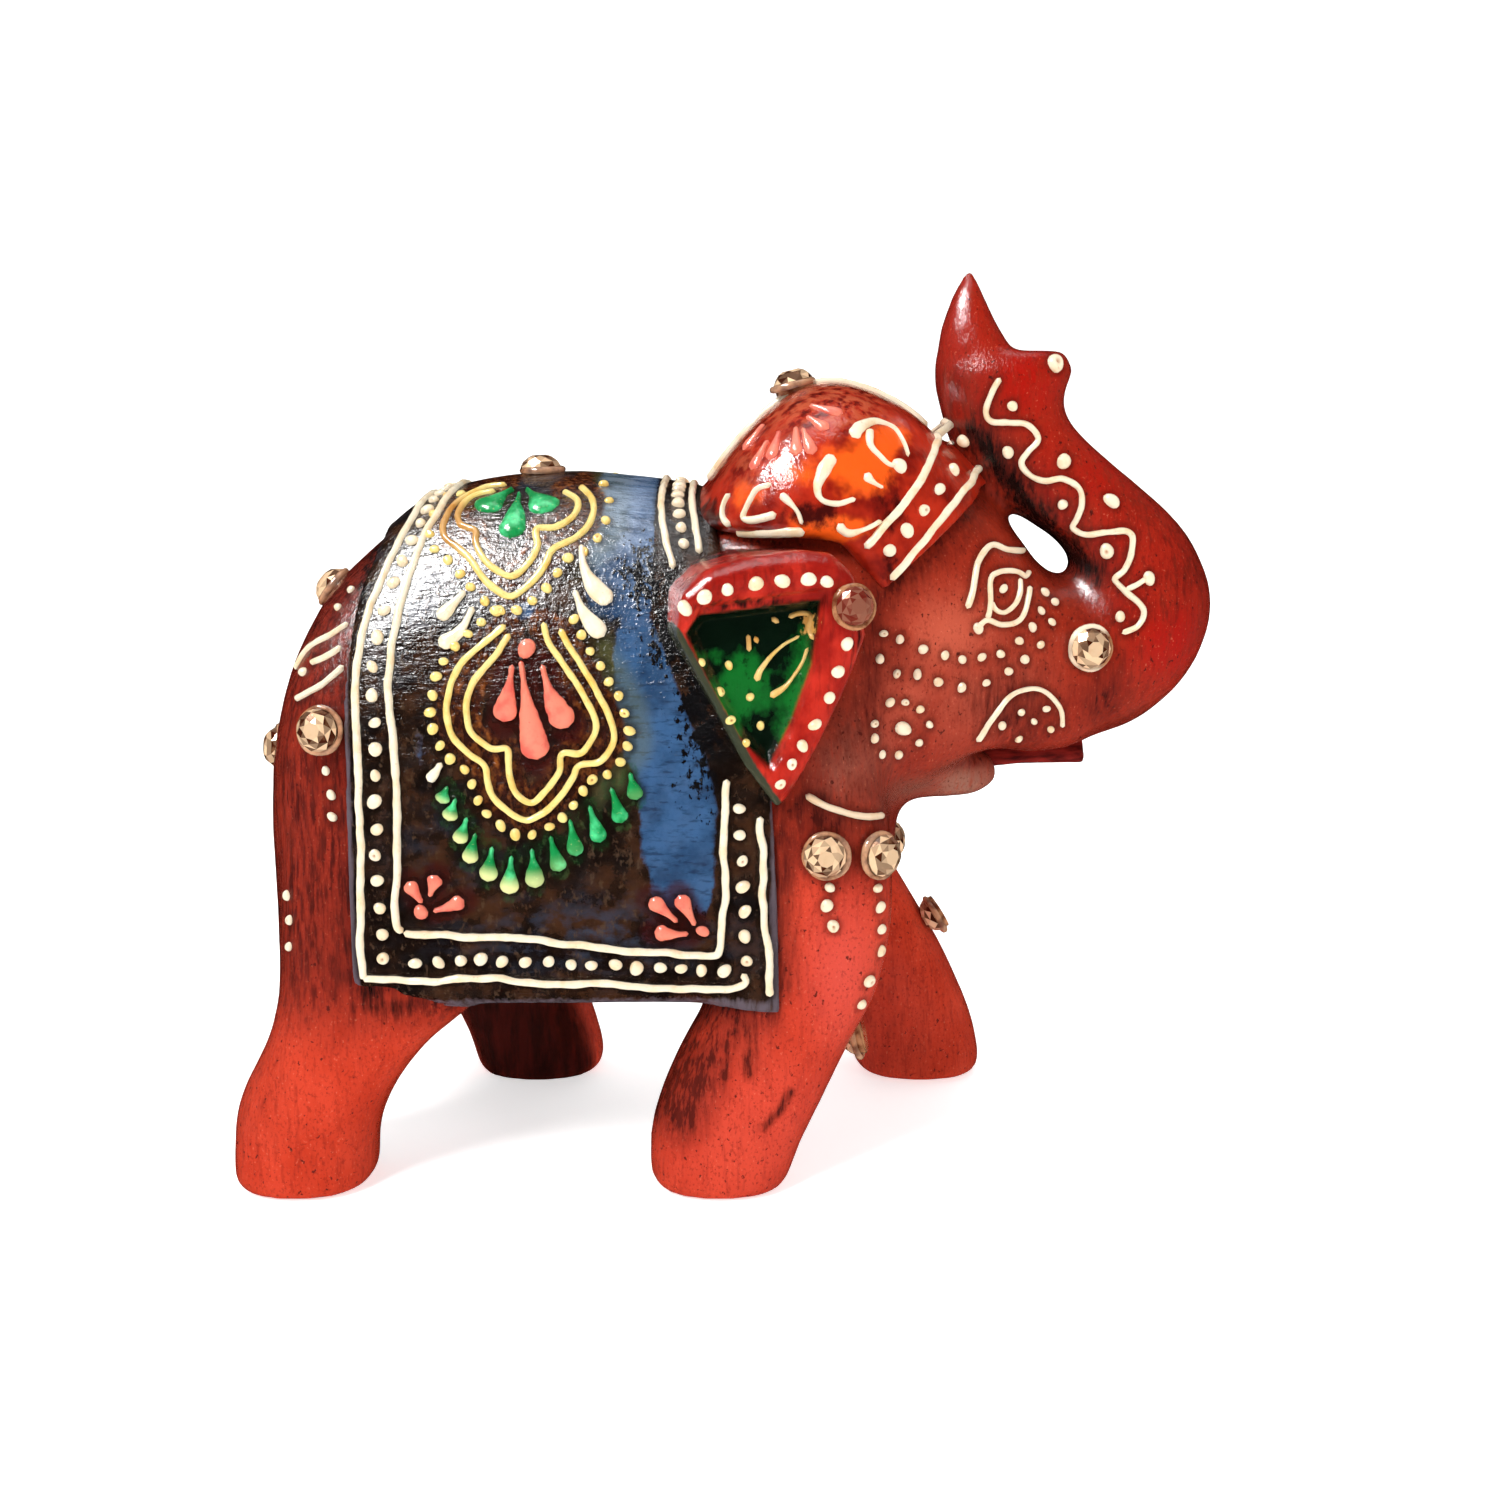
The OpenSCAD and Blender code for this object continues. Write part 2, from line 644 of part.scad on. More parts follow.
module necklace_line() {
    color(cream) difference() {
        intersection() {
            union() {
                torso(line_h);
                leg(right_front_leg, -1, line_h);
                leg(left_front_leg, 1, line_h);
            }
            cross_prism() stroke([[7.6, 45.2], [12, 43.6], [17, 42.6], [21, 42.2]]);
        }
        carved_body();
        right_ear();
        left_ear();
    }
}
module chest_beads() {
    color(cream) both_sides() {
        for (p = [[9.6, 35.6], [11.2, 35.2], [10.4, 33.8]])
            bead(p[0], leg_face_y(right_front_leg, p[0], p[1]), p[1], small_bead_d);
        for (i = [0 : 5]) {
            p = [16.6, 34 - 2.2 * i];
            bead(p[0], leg_face_y(right_front_leg, p[0], p[1]), p[1], small_bead_d);
        }
    }
}
module rump_strokes() {
    color(cream) difference() {
        intersection() {
            torso(line_h);
            cross_prism() {
                drop([-46.4, 62.8], [-41.4, 66.6], 0.7, 1.1);
                drop([-47.4, 59.4], [-41.8, 63.4], 0.7, 1.1);
                drop([-47.8, 56.2], [-42, 60.2], 0.7, 1.1);
            }
        }
        torso();
        saddle_cloth();
    }
}

// ---------------------------------------------------------------- stones

// Places of the right-side and middle stones: [x, y, z, direction it faces, rise of that direction]
cap_spot = [7.4, 0, 88.6, 180, 76];
back_spot = [-21.8, 0, 79, 180, 88];
rump_top_spot = [-45.9, 0, 65.8, 180, 38];
rump_spots = [[-51.5, 0, 48.6, 180, 5], [-51, -8.2, 48.6, 200, 5]];
rump_side_spot = [-43.4, -21.8, 53.4, 258, 8];
ear_spot = [13.2, -(ear_root_y + 0.4), 66.8, 285, 5];
cheek_spot = [40.8, -8.5, 60.2, 280, 2];
chest_centre_spot = [18.8, 0, 35.4, 0, 0];
chest_inner_spot = [16.4, -20.9, 39.4, 308, 4];
chest_outer_spot = [10.4, -22.7, 39.8, 274, 4];
right_foreleg_spot = [12.4, -14.5, 15.8, 350, 15];
left_foreleg_spot = [24.6, 14.6, 20.4, 10, 30];

module at_spot(spot) {
    translate([spot[0], spot[1], spot[2]]) rotate([0, 90 - spot[4], spot[3]]) children();
}
// Height of a paste bed above the wood, and how far it is pressed into the paint
bed_h = 0.5;
bed_sink = 0.4;
bed_d = stone_d + 1;
module stone(spot) {
    waist_d = stone_d * 0.93;
    waist_h = stone_h * 0.35;
    table_d = stone_d * 0.5;
    color([0.82, 0.66, 0.55]) at_spot(spot) {
        translate([0, 0, bed_h])
            cylinder(d1 = stone_d, d2 = waist_d, h = waist_h, $fn = stone_facets);
        translate([0, 0, bed_h + waist_h])
            cylinder(d1 = waist_d, d2 = table_d, h = stone_h - waist_h, $fn = stone_facets);
    }
}
module bed(spot) {
    at_spot(spot) translate([0, 0, -bed_sink]) cylinder(d = bed_d, h = bed_h + bed_sink, $fn = 24);
}
module stone_beds() {
    color([0.75, 0.6, 0.42]) {
        for (spot = [cap_spot, back_spot, rump_top_spot, rump_spots[0], chest_centre_spot,
                     right_foreleg_spot, left_foreleg_spot]) bed(spot);
        both_sides() for (spot = [rump_spots[1], rump_side_spot, ear_spot, cheek_spot,
                                  chest_inner_spot, chest_outer_spot]) bed(spot);
    }
}
module cap_stone() { stone(cap_spot); }
module back_stone() { stone(back_spot); }
module rump_top_stone() { stone(rump_top_spot); }
module rump_centre_stones() {
    stone(rump_spots[0]);
    both_sides() stone(rump_spots[1]);
}
module rump_side_stones() { both_sides() stone(rump_side_spot); }
module right_ear_stone() { stone(ear_spot); }
module left_ear_stone() { mirror([0, 1, 0]) stone(ear_spot); }
module right_cheek_stone() { stone(cheek_spot); }
module left_cheek_stone() { mirror([0, 1, 0]) stone(cheek_spot); }
module chest_centre_stone() { stone(chest_centre_spot); }
module chest_inner_stones() { both_sides() stone(chest_inner_spot); }
module chest_outer_stones() { both_sides() stone(chest_outer_spot); }
module foreleg_stones() {
    stone(right_foreleg_spot);
    stone(left_foreleg_spot);
}

carved_body();
right_ear();
left_ear();
saddle_cloth();
head_cap();
tongue();
stone_beds();
cap_stone();
back_stone();
rump_top_stone();
rump_centre_stones();
rump_side_stones();
right_ear_stone();
left_ear_stone();
right_cheek_stone();
left_cheek_stone();
chest_centre_stone();
chest_inner_stones();
chest_outer_stones();
foreleg_stones();
saddle_border_lines();
saddle_border_beads();
upper_medallion_outlines();
upper_medallion_petals();
lower_medallion_outlines();
lower_medallion_petals();
medallion_beads();
fringe_drops();
corner_sprigs();
comma_strokes();
cap_ridge_line();
cap_scrolls();
cap_petals();
brow_band_lines();
brow_band_beads();
ear_rim_beads();
ear_leaves();
trunk_waves();
trunk_beads();
eye_outlines();
face_beads();
cheek_rosettes();
mouth_arches();
necklace_line();
chest_beads();
rump_strokes();
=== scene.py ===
"""Looks of the carved and painted wooden elephant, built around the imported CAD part."""

import bisect
import math
import random
from functools import partial

import bmesh
import bpy
import numpy as np
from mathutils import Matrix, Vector, noise
from mathutils.bvhtree import BVHTree
from mathutils.kdtree import KDTree


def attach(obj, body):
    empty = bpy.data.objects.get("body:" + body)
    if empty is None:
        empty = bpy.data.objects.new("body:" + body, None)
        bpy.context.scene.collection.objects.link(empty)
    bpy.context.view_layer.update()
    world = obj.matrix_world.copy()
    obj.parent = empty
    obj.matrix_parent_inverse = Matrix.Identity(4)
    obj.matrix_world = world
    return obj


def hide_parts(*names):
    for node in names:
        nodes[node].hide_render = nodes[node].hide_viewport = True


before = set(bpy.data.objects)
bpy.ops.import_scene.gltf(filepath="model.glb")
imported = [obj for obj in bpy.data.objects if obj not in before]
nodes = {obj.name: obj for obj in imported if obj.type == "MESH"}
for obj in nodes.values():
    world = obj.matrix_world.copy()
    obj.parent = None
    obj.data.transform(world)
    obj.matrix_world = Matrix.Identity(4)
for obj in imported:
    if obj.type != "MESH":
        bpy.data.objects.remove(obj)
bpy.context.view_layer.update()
MM = 0.001  # metres in a millimetre: the design is written in mm
WELD = 2e-6  # metres within which two CAD corners are one
TOUCHING = 0.04  # mm from the body's skin at which a part counts as lying on it
SINK = 0.7  # mm that such a face is pushed into the body
BODY_LEVEL = 46.0  # height of the barrel's middle


# ---------------------------------------------------------------- small helpers
def ramp(low, high, value):
    """Smooth step from 0 at low to 1 at high; low may be the larger one."""
    t = np.clip((value - low) / (high - low), 0.0, 1.0)
    return t * t * (3 - 2 * t)


def blob(x, z, cx, cz, rx, rz):
    """Soft round spot in the side view: 1 in the middle, fading to 0."""
    return np.exp(-(((x - cx) / rx) ** 2 + ((z - cz) / rz) ** 2))


def most(*masks):
    return np.maximum.reduce(masks)


def path_distance(x, z, points):
    """Distance in the side view from every point to a design path."""
    best = np.full(len(x), 1e9)
    for (ax, az), (bx, bz) in zip(points, points[1:]):
        dx, dz = bx - ax, bz - az
        t = np.clip(((x - ax) * dx + (z - az) * dz) / (dx * dx + dz * dz + 1e-9), 0, 1)
        best = np.minimum(best, np.hypot(x - ax - t * dx, z - az - t * dz))
    return best


def nearest_path(x, z, paths):
    return np.minimum.reduce([path_distance(x, z, points) for points in paths])


def along_path(x, z, points, reach):
    """1 on a design path, falling evenly to 0 at the reach."""
    return np.clip(1 - path_distance(x, z, points) / reach, 0, 1)


def linear(rgb):
    """Screen colour 0..255 to the renderer's linear colour."""
    steps = [c / 255.0 for c in rgb]
    return tuple(c / 12.92 if c <= 0.04045 else ((c + 0.055) / 1.055) ** 2.4 for c in steps) + (1.0,)


def link(ob):
    bpy.context.scene.collection.objects.link(ob)
    return ob


def new_object(name, verts, faces, smooth=True):
    me = bpy.data.meshes.new(name)
    me.from_pydata([tuple(v) for v in verts], [], faces)
    me.update()
    if smooth:
        me.shade_smooth()
    return link(bpy.data.objects.new(name, me))


def points_of(me):
    co = np.empty(len(me.vertices) * 3)
    me.vertices.foreach_get("co", co)
    return co.reshape(-1, 3) / MM


def put_points(me, co):
    me.vertices.foreach_set("co", (co * MM).ravel())
    me.update()


def normals_of(me):
    no = np.empty(len(me.vertices) * 3)
    me.vertices.foreach_get("normal", no)
    return no.reshape(-1, 3)


def set_masks(me, **masks):
    for name, values in masks.items():
        layer = me.attributes.new(name, "FLOAT", "POINT")
        layer.data.foreach_set("value", np.clip(values, 0, 1).astype(np.float32))


def face_outwards(me):
    bm = bmesh.new()
    bm.from_mesh(me)
    bmesh.ops.recalc_face_normals(bm, faces=bm.faces)
    bm.to_mesh(me)
    bm.free()


def tree_of(*meshes):
    verts, faces = [], []
    for me in meshes:
        base = len(verts)
        verts += [tuple(p) for p in points_of(me)]
        faces += [tuple(base + i for i in p.vertices) for p in me.polygons]
    return BVHTree.FromPolygons(verts, faces)


def blend_noise(co, size, seed):
    """Soft noise about -1..1 with features of the given size in mm."""
    k = 1.0 / size
    off = seed * 17.3
    return np.array([noise.noise((x * k + off, y * k - off, z * k + off)) for x, y, z in co])


def dress(ob, material, node):
    """Gives a finished piece its material and its place in the part."""
    ob.data.materials.append(material)
    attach(ob, "root")
    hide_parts(node)


# ---------------------------------------------------------------- carved wood
def relax(co, edges, rounds, weight):
    """Moves every point towards the middle of its neighbours, round after round."""
    count = len(co)
    a, b = edges.T
    degree = np.maximum(np.bincount(a, minlength=count) + np.bincount(b, minlength=count), 1)
    for _ in range(rounds):
        total = np.stack([np.bincount(a, co[b, k], count) + np.bincount(b, co[a, k], count)
                          for k in range(3)], 1)
        co = co + (total / degree[:, None] - co) * weight[:, None]
    return co


def sculpt(node, name, voxel, rounds, weight_of, sink_tree=None, carve=0.06):
    """Softens a faceted CAD node into hand-carved wood."""
    me = nodes[node].data.copy()
    bm = bmesh.new()
    bm.from_mesh(me)
    bmesh.ops.remove_doubles(bm, verts=bm.verts, dist=WELD)
    for v in bm.verts if sink_tree else ():
        _, nor, _, dist = sink_tree.find_nearest(v.co / MM)
        if dist < TOUCHING:
            v.co -= nor * SINK * MM
    bm.to_mesh(me)
    bm.free()
    ob = link(bpy.data.objects.new(name, me))
    mod = ob.modifiers.new("even skin", "REMESH")
    mod.mode = "VOXEL"
    mod.voxel_size = voxel * MM
    bpy.context.view_layer.update()
    skin = bpy.data.meshes.new_from_object(ob.evaluated_get(bpy.context.evaluated_depsgraph_get()))
    ob.modifiers.clear()
    ob.data = skin
    skin.name = name
    co = points_of(skin)
    edges = np.empty(len(skin.edges) * 2, dtype=np.int64)
    skin.edges.foreach_get("vertices", edges)
    co = relax(co, edges.reshape(-1, 2), rounds, weight_of(co))
    put_points(skin, co)
    broad, small = blend_noise(co, 5.5, 1), blend_noise(co, 1.7, 2)
    ripple = carve * (broad + 0.35 * small) * ramp(0.2, 2.5, co[:, 2])
    co = co + normals_of(skin) * ripple[:, None]
    co[:, 2] = np.maximum(co[:, 2], 0.0)
    put_points(skin, co)
    skin.materials.clear()
    skin.shade_smooth()
    return ob


def body_softness(co):
    """Soft everywhere but at the soles, the trunk's tip, the mouth and the gap behind the trunk."""
    x, _, z = co.T
    mouth = most(blob(x, z, 32, 46, 8, 4.5), blob(x, z, 26, 44, 5.5, 4.5))
    gap = blob(x, z, 36.3, 71.2, 6, 6)
    soles = 0.08 + 0.92 * ramp(1.0, 6.0, z)
    tip = 0.12 + 0.88 * ramp(90.0, 84.0, z)
    return 0.5 * soles * tip * (1 - 0.88 * mouth) * (1 - 0.6 * gap)


def outer_only(near, far):
    """Weights that leave the rim of a thin part crisp and smooth only its outer face."""
    def weights(co):
        d = np.array([cad_body_tree.find_nearest(p)[3] for p in co])
        return 0.5 * ramp(near, far, d)
    return weights


def evenly(co):
    return np.full(len(co), 0.45)


def tuck(ob):
    """Keeps the wood from swelling through the cloth, squares the jaw and opens the trunk's gap."""
    co = points_of(ob.data)
    x, _, z = co.T
    under_cloth = ramp(8.8, 6.4, x) * ramp(-44.5, -42.5, x) * ramp(20.0, 22.2, z)
    for i in np.nonzero(under_cloth > 0)[0]:
        loc, nor, _, _ = cad_body_tree.find_nearest(co[i])
        out = (Vector(co[i]) - loc).dot(nor) + 0.15
        if out > 0:
            co[i] -= np.array(nor) * out * under_cloth[i]
    jaw = blob(x, z, 28.6, 45.2, 4.4, 3.4)
    co[:, 2] += jaw * (1.5 * ramp(44.8, 46.2, z) - 0.5 * ramp(45.4, 44.2, z))
    co[:, 0] += 0.7 * jaw * ramp(26, 28.4, x)
    gap_x, gap_z = 36.0, 71.4
    away = np.hypot(x - gap_x, z - gap_z) + 1e-6
    corner = blob(x, z, 38.4, 69.4, 2.6, 2.6) * 0.9 / away
    co[:, 0] += corner * (x - gap_x)
    co[:, 2] += corner * (z - gap_z)
    put_points(ob.data, co)


EAR_HOLLOW = [(-4.4, 64.4), (-3, 66.4), (10.0, 67.6), (9.0, 60.6), (6.8, 54.6), (4.4, 49.6),
              (1.2, 53.2), (-2.2, 59.6)]


def in_hollow(x, z):
    """Depth inside the outline of the ear's hollow, in mm; 0 outside."""
    inside = np.zeros(len(x), dtype=bool)
    rim = EAR_HOLLOW + EAR_HOLLOW[:1]
    for (ax, az), (bx, bz) in zip(rim, rim[1:]):
        crossing = (az > z) != (bz > z)
        inside ^= crossing & (x < (bx - ax) * (z - az) / (bz - az + 1e-9) + ax)
    return np.where(inside, path_distance(x, z, rim), 0.0)


def scoop(ob):
    """Deepens the ear's hollow, most of all under the top rim, and rounds the rims."""
    co = points_of(ob.data)
    x, y, z = co.T
    face = ramp(19.5, 21.5, abs(y))
    dig = ramp(0.0, 1.3, in_hollow(x, z)) * (0.7 + 1.2 * ramp(58, 67, z))
    top = path_distance(x, z, [(-4.6, 67.6), (-1.5, 69.4), (4, 70.2), (10.5, 70.2)])
    front = path_distance(x, z, [(12.6, 66), (11.6, 60), (8.6, 53.4), (5.6, 48)])
    swell = 0.75 * ramp(2.2, 0.3, top) + 0.35 * ramp(1.6, 0.2, front)
    co[:, 1] += np.sign(y) * face * (swell - dig)
    put_points(ob.data, co)


cad_body_tree = tree_of(nodes["carved_body"].data)
woods = {"carved_body": sculpt("carved_body", "painted_body", 0.55, 90, body_softness)}
for node, voxel, rounds, weight_of, carve in (("saddle_cloth", 0.45, 70, outer_only(0.9, 1.35), 0.05),
                                              ("head_cap", 0.45, 60, outer_only(0.6, 1.0), 0.08),
                                              ("right_ear", 0.34, 8, evenly, 0.05),
                                              ("left_ear", 0.34, 8, evenly, 0.05),
                                              ("tongue", 0.34, 8, evenly, 0.03)):
    name = "painted_cap" if node == "head_cap" else "painted_" + node
    woods[node] = sculpt(node, name, voxel, rounds, weight_of, cad_body_tree, carve)
tuck(woods["carved_body"])
scoop(woods["right_ear"])
scoop(woods["left_ear"])
body, cloth, cap, ear = (woods[n].data for n in ("carved_body", "saddle_cloth", "head_cap", "right_ear"))
on_body, on_ear = tree_of(body), tree_of(ear)
on_cloth, on_head = tree_of(body, cloth), tree_of(body, cap)


# ---------------------------------------------------------------- piped paste
def through(points, step=0.3):
    """Evenly spaced points on a soft curve through the given ones."""
    pts = [Vector((a, b, 0)) for a, b in points]
    out = []
    for i, (p1, p2) in enumerate(zip(pts, pts[1:])):
        p0 = pts[i - 1] if i > 0 else p1 * 2 - p2
        p3 = pts[i + 2] if i + 2 < len(pts) else p2 * 2 - p1
        k = max(2, int(math.ceil((p2 - p1).length / step)))
        for j in range(k):
            t = j / k
            out.append(0.5 * ((2 * p1) + (p2 - p0) * t + (2 * p0 - 5 * p1 + 4 * p2 - p3) * t * t
                              + (3 * p1 - p0 - 3 * p2 + p3) * t ** 3))
    return out + [pts[-1]]


def from_side(tree, x, z):
    """Point and normal where the right side is met at (x, z)."""
    loc, nor, _, _ = tree.ray_cast(Vector((x, -60, z)), Vector((0, 1, 0)))
    if loc is None or loc.y > 0.5:
        loc, nor, _, _ = tree.find_nearest(Vector((x, -9, z)))
    return loc, nor


def from_ring(tree, x, angle):
    """Point and normal where the skin is met at a height angle about the barrel, in degrees."""
    way = Vector((0, -math.cos(math.radians(angle)), math.sin(math.radians(angle))))
    middle = Vector((x, 0, BODY_LEVEL))
    loc, nor, _, _ = tree.ray_cast(middle + way * 70, -way)
    if loc is None:
        loc, nor, _, _ = tree.find_nearest(middle + way * 33)
    return loc, nor


def side_line(tree, points):
    return [from_side(tree, p.x, p.y) for p in through(points)]


def ring_line(tree, points):
    """Points are (x, height angle); the angle is stretched so that steps are about even."""
    k = 0.45
    return [from_ring(tree, p.x, p.y / k) for p in through([(x, a * k) for x, a in points])]


def flipped(line):
    return [(Vector((p.x, -p.y, p.z)), Vector((n.x, -n.y, n.z))) for p, n in line]


def both_ways(half):
    """A line that ends on the back, carried on down the other side."""
    return half + list(reversed(flipped(half)))[1:]


def spaced(points, pitch):
    """Places along a design path at an even pitch, in the design's own two numbers."""
    fine = through(points, 0.1)
    run = [0.0]
    for p, q in zip(fine, fine[1:]):
        run.append(run[-1] + (q - p).length)
    count = max(2, round(run[-1] / pitch) + 1)
    gap = run[-1] / (count - 1)
    picks = [min(bisect.bisect_left(run, i * gap), len(fine) - 1) for i in range(count)]
    return [(fine[k].x, fine[k].y) for k in picks]


# Section of a line of paste, in half widths and heights; a bead's levels, in radii and heights
LINE_SECTION = [(-1.0, -0.35), (-0.95, 0.12), (-0.8, 0.5), (-0.48, 0.86), (0.0, 1.0),
                (0.48, 0.86), (0.8, 0.5), (0.95, 0.12), (1.0, -0.35)]
BEAD_LEVELS = [(1.0, -0.3), (0.99, 0.15), (0.88, 0.52), (0.66, 0.83)]
BEAD_SIDES = 14
piped = []


class Paste:
    """Collects the lines, drops and beads of one group into one mesh."""

    def __init__(self, seed, ground, tone=0.0):
        self.verts, self.faces, self.tint = [], [], []
        self.ground = ground
        self.tone = tone
        self.rng = random.Random(seed)

    def line(self, path, width, height=0.5, taper=None, tint=0.0, mirror=True, wobble=0.1):
        """Half-round line of paste along a path of (point, normal)."""
        for one in ([path, flipped(path)] if mirror else [path]):
            self._line(one, width, height, taper, tint, wobble)

    def stroke(self, points, *shape, **more):
        """Line of paste along a design path of the right side."""
        self.line(side_line(self.ground, points), *shape, **more)

    def _line(self, path, width, height, taper, tint, wobble):
        last = len(path) - 1
        pts = [p for p, _ in path]
        nors = [v for _, v in path]
        lengths = [0.0]
        for p, q in zip(pts, pts[1:]):
            lengths.append(lengths[-1] + (q - p).length)
        total = lengths[-1] or 1.0
        start = self.rng.random() * 90
        first, m = len(self.verts), len(LINE_SECTION)
        for i, s in enumerate(lengths):
            along = (pts[min(last, i + 2)] - pts[max(0, i - 2)]).normalized()
            nor = Vector((0, 0, 0))
            for k in range(-4, 5):
                nor += nors[min(max(i + k, 0), last)]
            nor = (nor - along * nor.dot(along)).normalized()
            side = along.cross(nor)
            w = (taper(s / total) if taper else 1.0) * width / 2
            w *= 1 + 0.16 * noise.noise((s / 1.6, start, 0)) + 0.1 * noise.noise((s / 0.6, start, 5))
            near_end = min(1.0, min(s, total - s) / max(w, 0.2))
            end = max(math.sqrt(max(0.0, 1 - (1 - near_end) ** 2)), 0.02)
            shift = wobble * noise.noise((s / 2.3, start, 9)) * 1.6
            h = height * (0.75 + 0.25 * w / (width / 2)) * (1 + 0.12 * noise.noise((s / 1.1, start, 3)))
            base = pts[i] + side * shift
            self.verts += [base + side * (a * w * end) + nor * (b * h if b < 0 else b * h * end)
                           for a, b in LINE_SECTION]
            self.tint += [tint(s / total) if callable(tint) else tint] * m
        self.join(first, last, m)
        self.faces.append(tuple(first + k for k in reversed(range(m))))
        self.faces.append(tuple(first + last * m + k for k in range(m)))

    def join(self, first, rows, m, closed=False):
        """Faces between rows of m points; the last row meets the first one again if closed."""
        for i in range(rows):
            j = (i + 1) % rows if closed else i + 1
            for k in range(m):
                q = (k + 1) % m
                self.faces.append((first + i * m + k, first + i * m + q, first + j * m + q,
                                   first + j * m + k))

    def drop(self, points, thin, fat, height, tint=0.0):
        """A stroke that runs thin at its start and ends in a round blob."""
        self.stroke(points, fat, height, lambda t: (thin + (fat - thin) * ramp(0.15, 0.86, t)) / fat,
                    tint=tint, wobble=0.04)

    def dot(self, x, z, d, pit):
        """Bead on the right side at (x, z), with its mirror image on the left."""
        self.bead(from_side(self.ground, x, z), d, pit)

    def bead(self, place, d, pit, mirror=True):
        """Round bead; pit is its chance of a sunken, darker middle."""
        for loc, nor in [place] + (flipped([place]) if mirror else []):
            self._bead(loc, nor, d * self.rng.uniform(0.88, 1.1), self.rng.random() < pit)

    def _bead(self, loc, nor, d, pitted):
        rng, m = self.rng, BEAD_SIDES
        across = nor.orthogonal().normalized()
        turn = rng.uniform(0, math.tau)
        u = across * math.cos(turn) + nor.cross(across) * math.sin(turn)
        v = nor.cross(u)
        ra, rb = d / 2 * rng.uniform(1.0, 1.16), d / 2 * rng.uniform(0.86, 1.0)
        h = 0.42 * d * rng.uniform(0.85, 1.1)
        lump = rng.uniform(0, 9)
        first = len(self.verts)
        levels = BEAD_LEVELS + [(0.36, 0.9 if pitted else 0.98)]
        for r, z in levels:
            for k in range(m):
                a = math.tau * k / m
                g = r * (1 + 0.05 * math.sin(2 * a + lump) + 0.03 * math.sin(3 * a + 2 * lump))
                self.verts.append(loc + u * (ra * g * math.cos(a)) + v * (rb * g * math.sin(a)) + nor
                                  * (z * h))
        self.join(first, len(levels) - 1, m)
        top = len(self.verts)
        self.verts += [loc + nor * (h * (0.35 if pitted else 1.0)), loc - nor * (0.3 * h)]
        self.tint += [0.0] * (top - first) + [1.0 if pitted else 0.0, 0.0]
        for k in range(m):
            q = (k + 1) % m
            self.faces += [(top - m + k, top - m + q, top), (first + q, first + k, top + 1)]

    def finish(self, node, slot, name=None):
        ob = new_object(name or "piped_" + node, [v * MM for v in self.verts], self.faces)
        face_outwards(ob.data)
        set_masks(ob.data, tint=np.array(self.tint, dtype=float) * (1 - self.tone) + self.tone)
        piped.extend(self.verts)
        dress(ob, PASTES[slot], node)


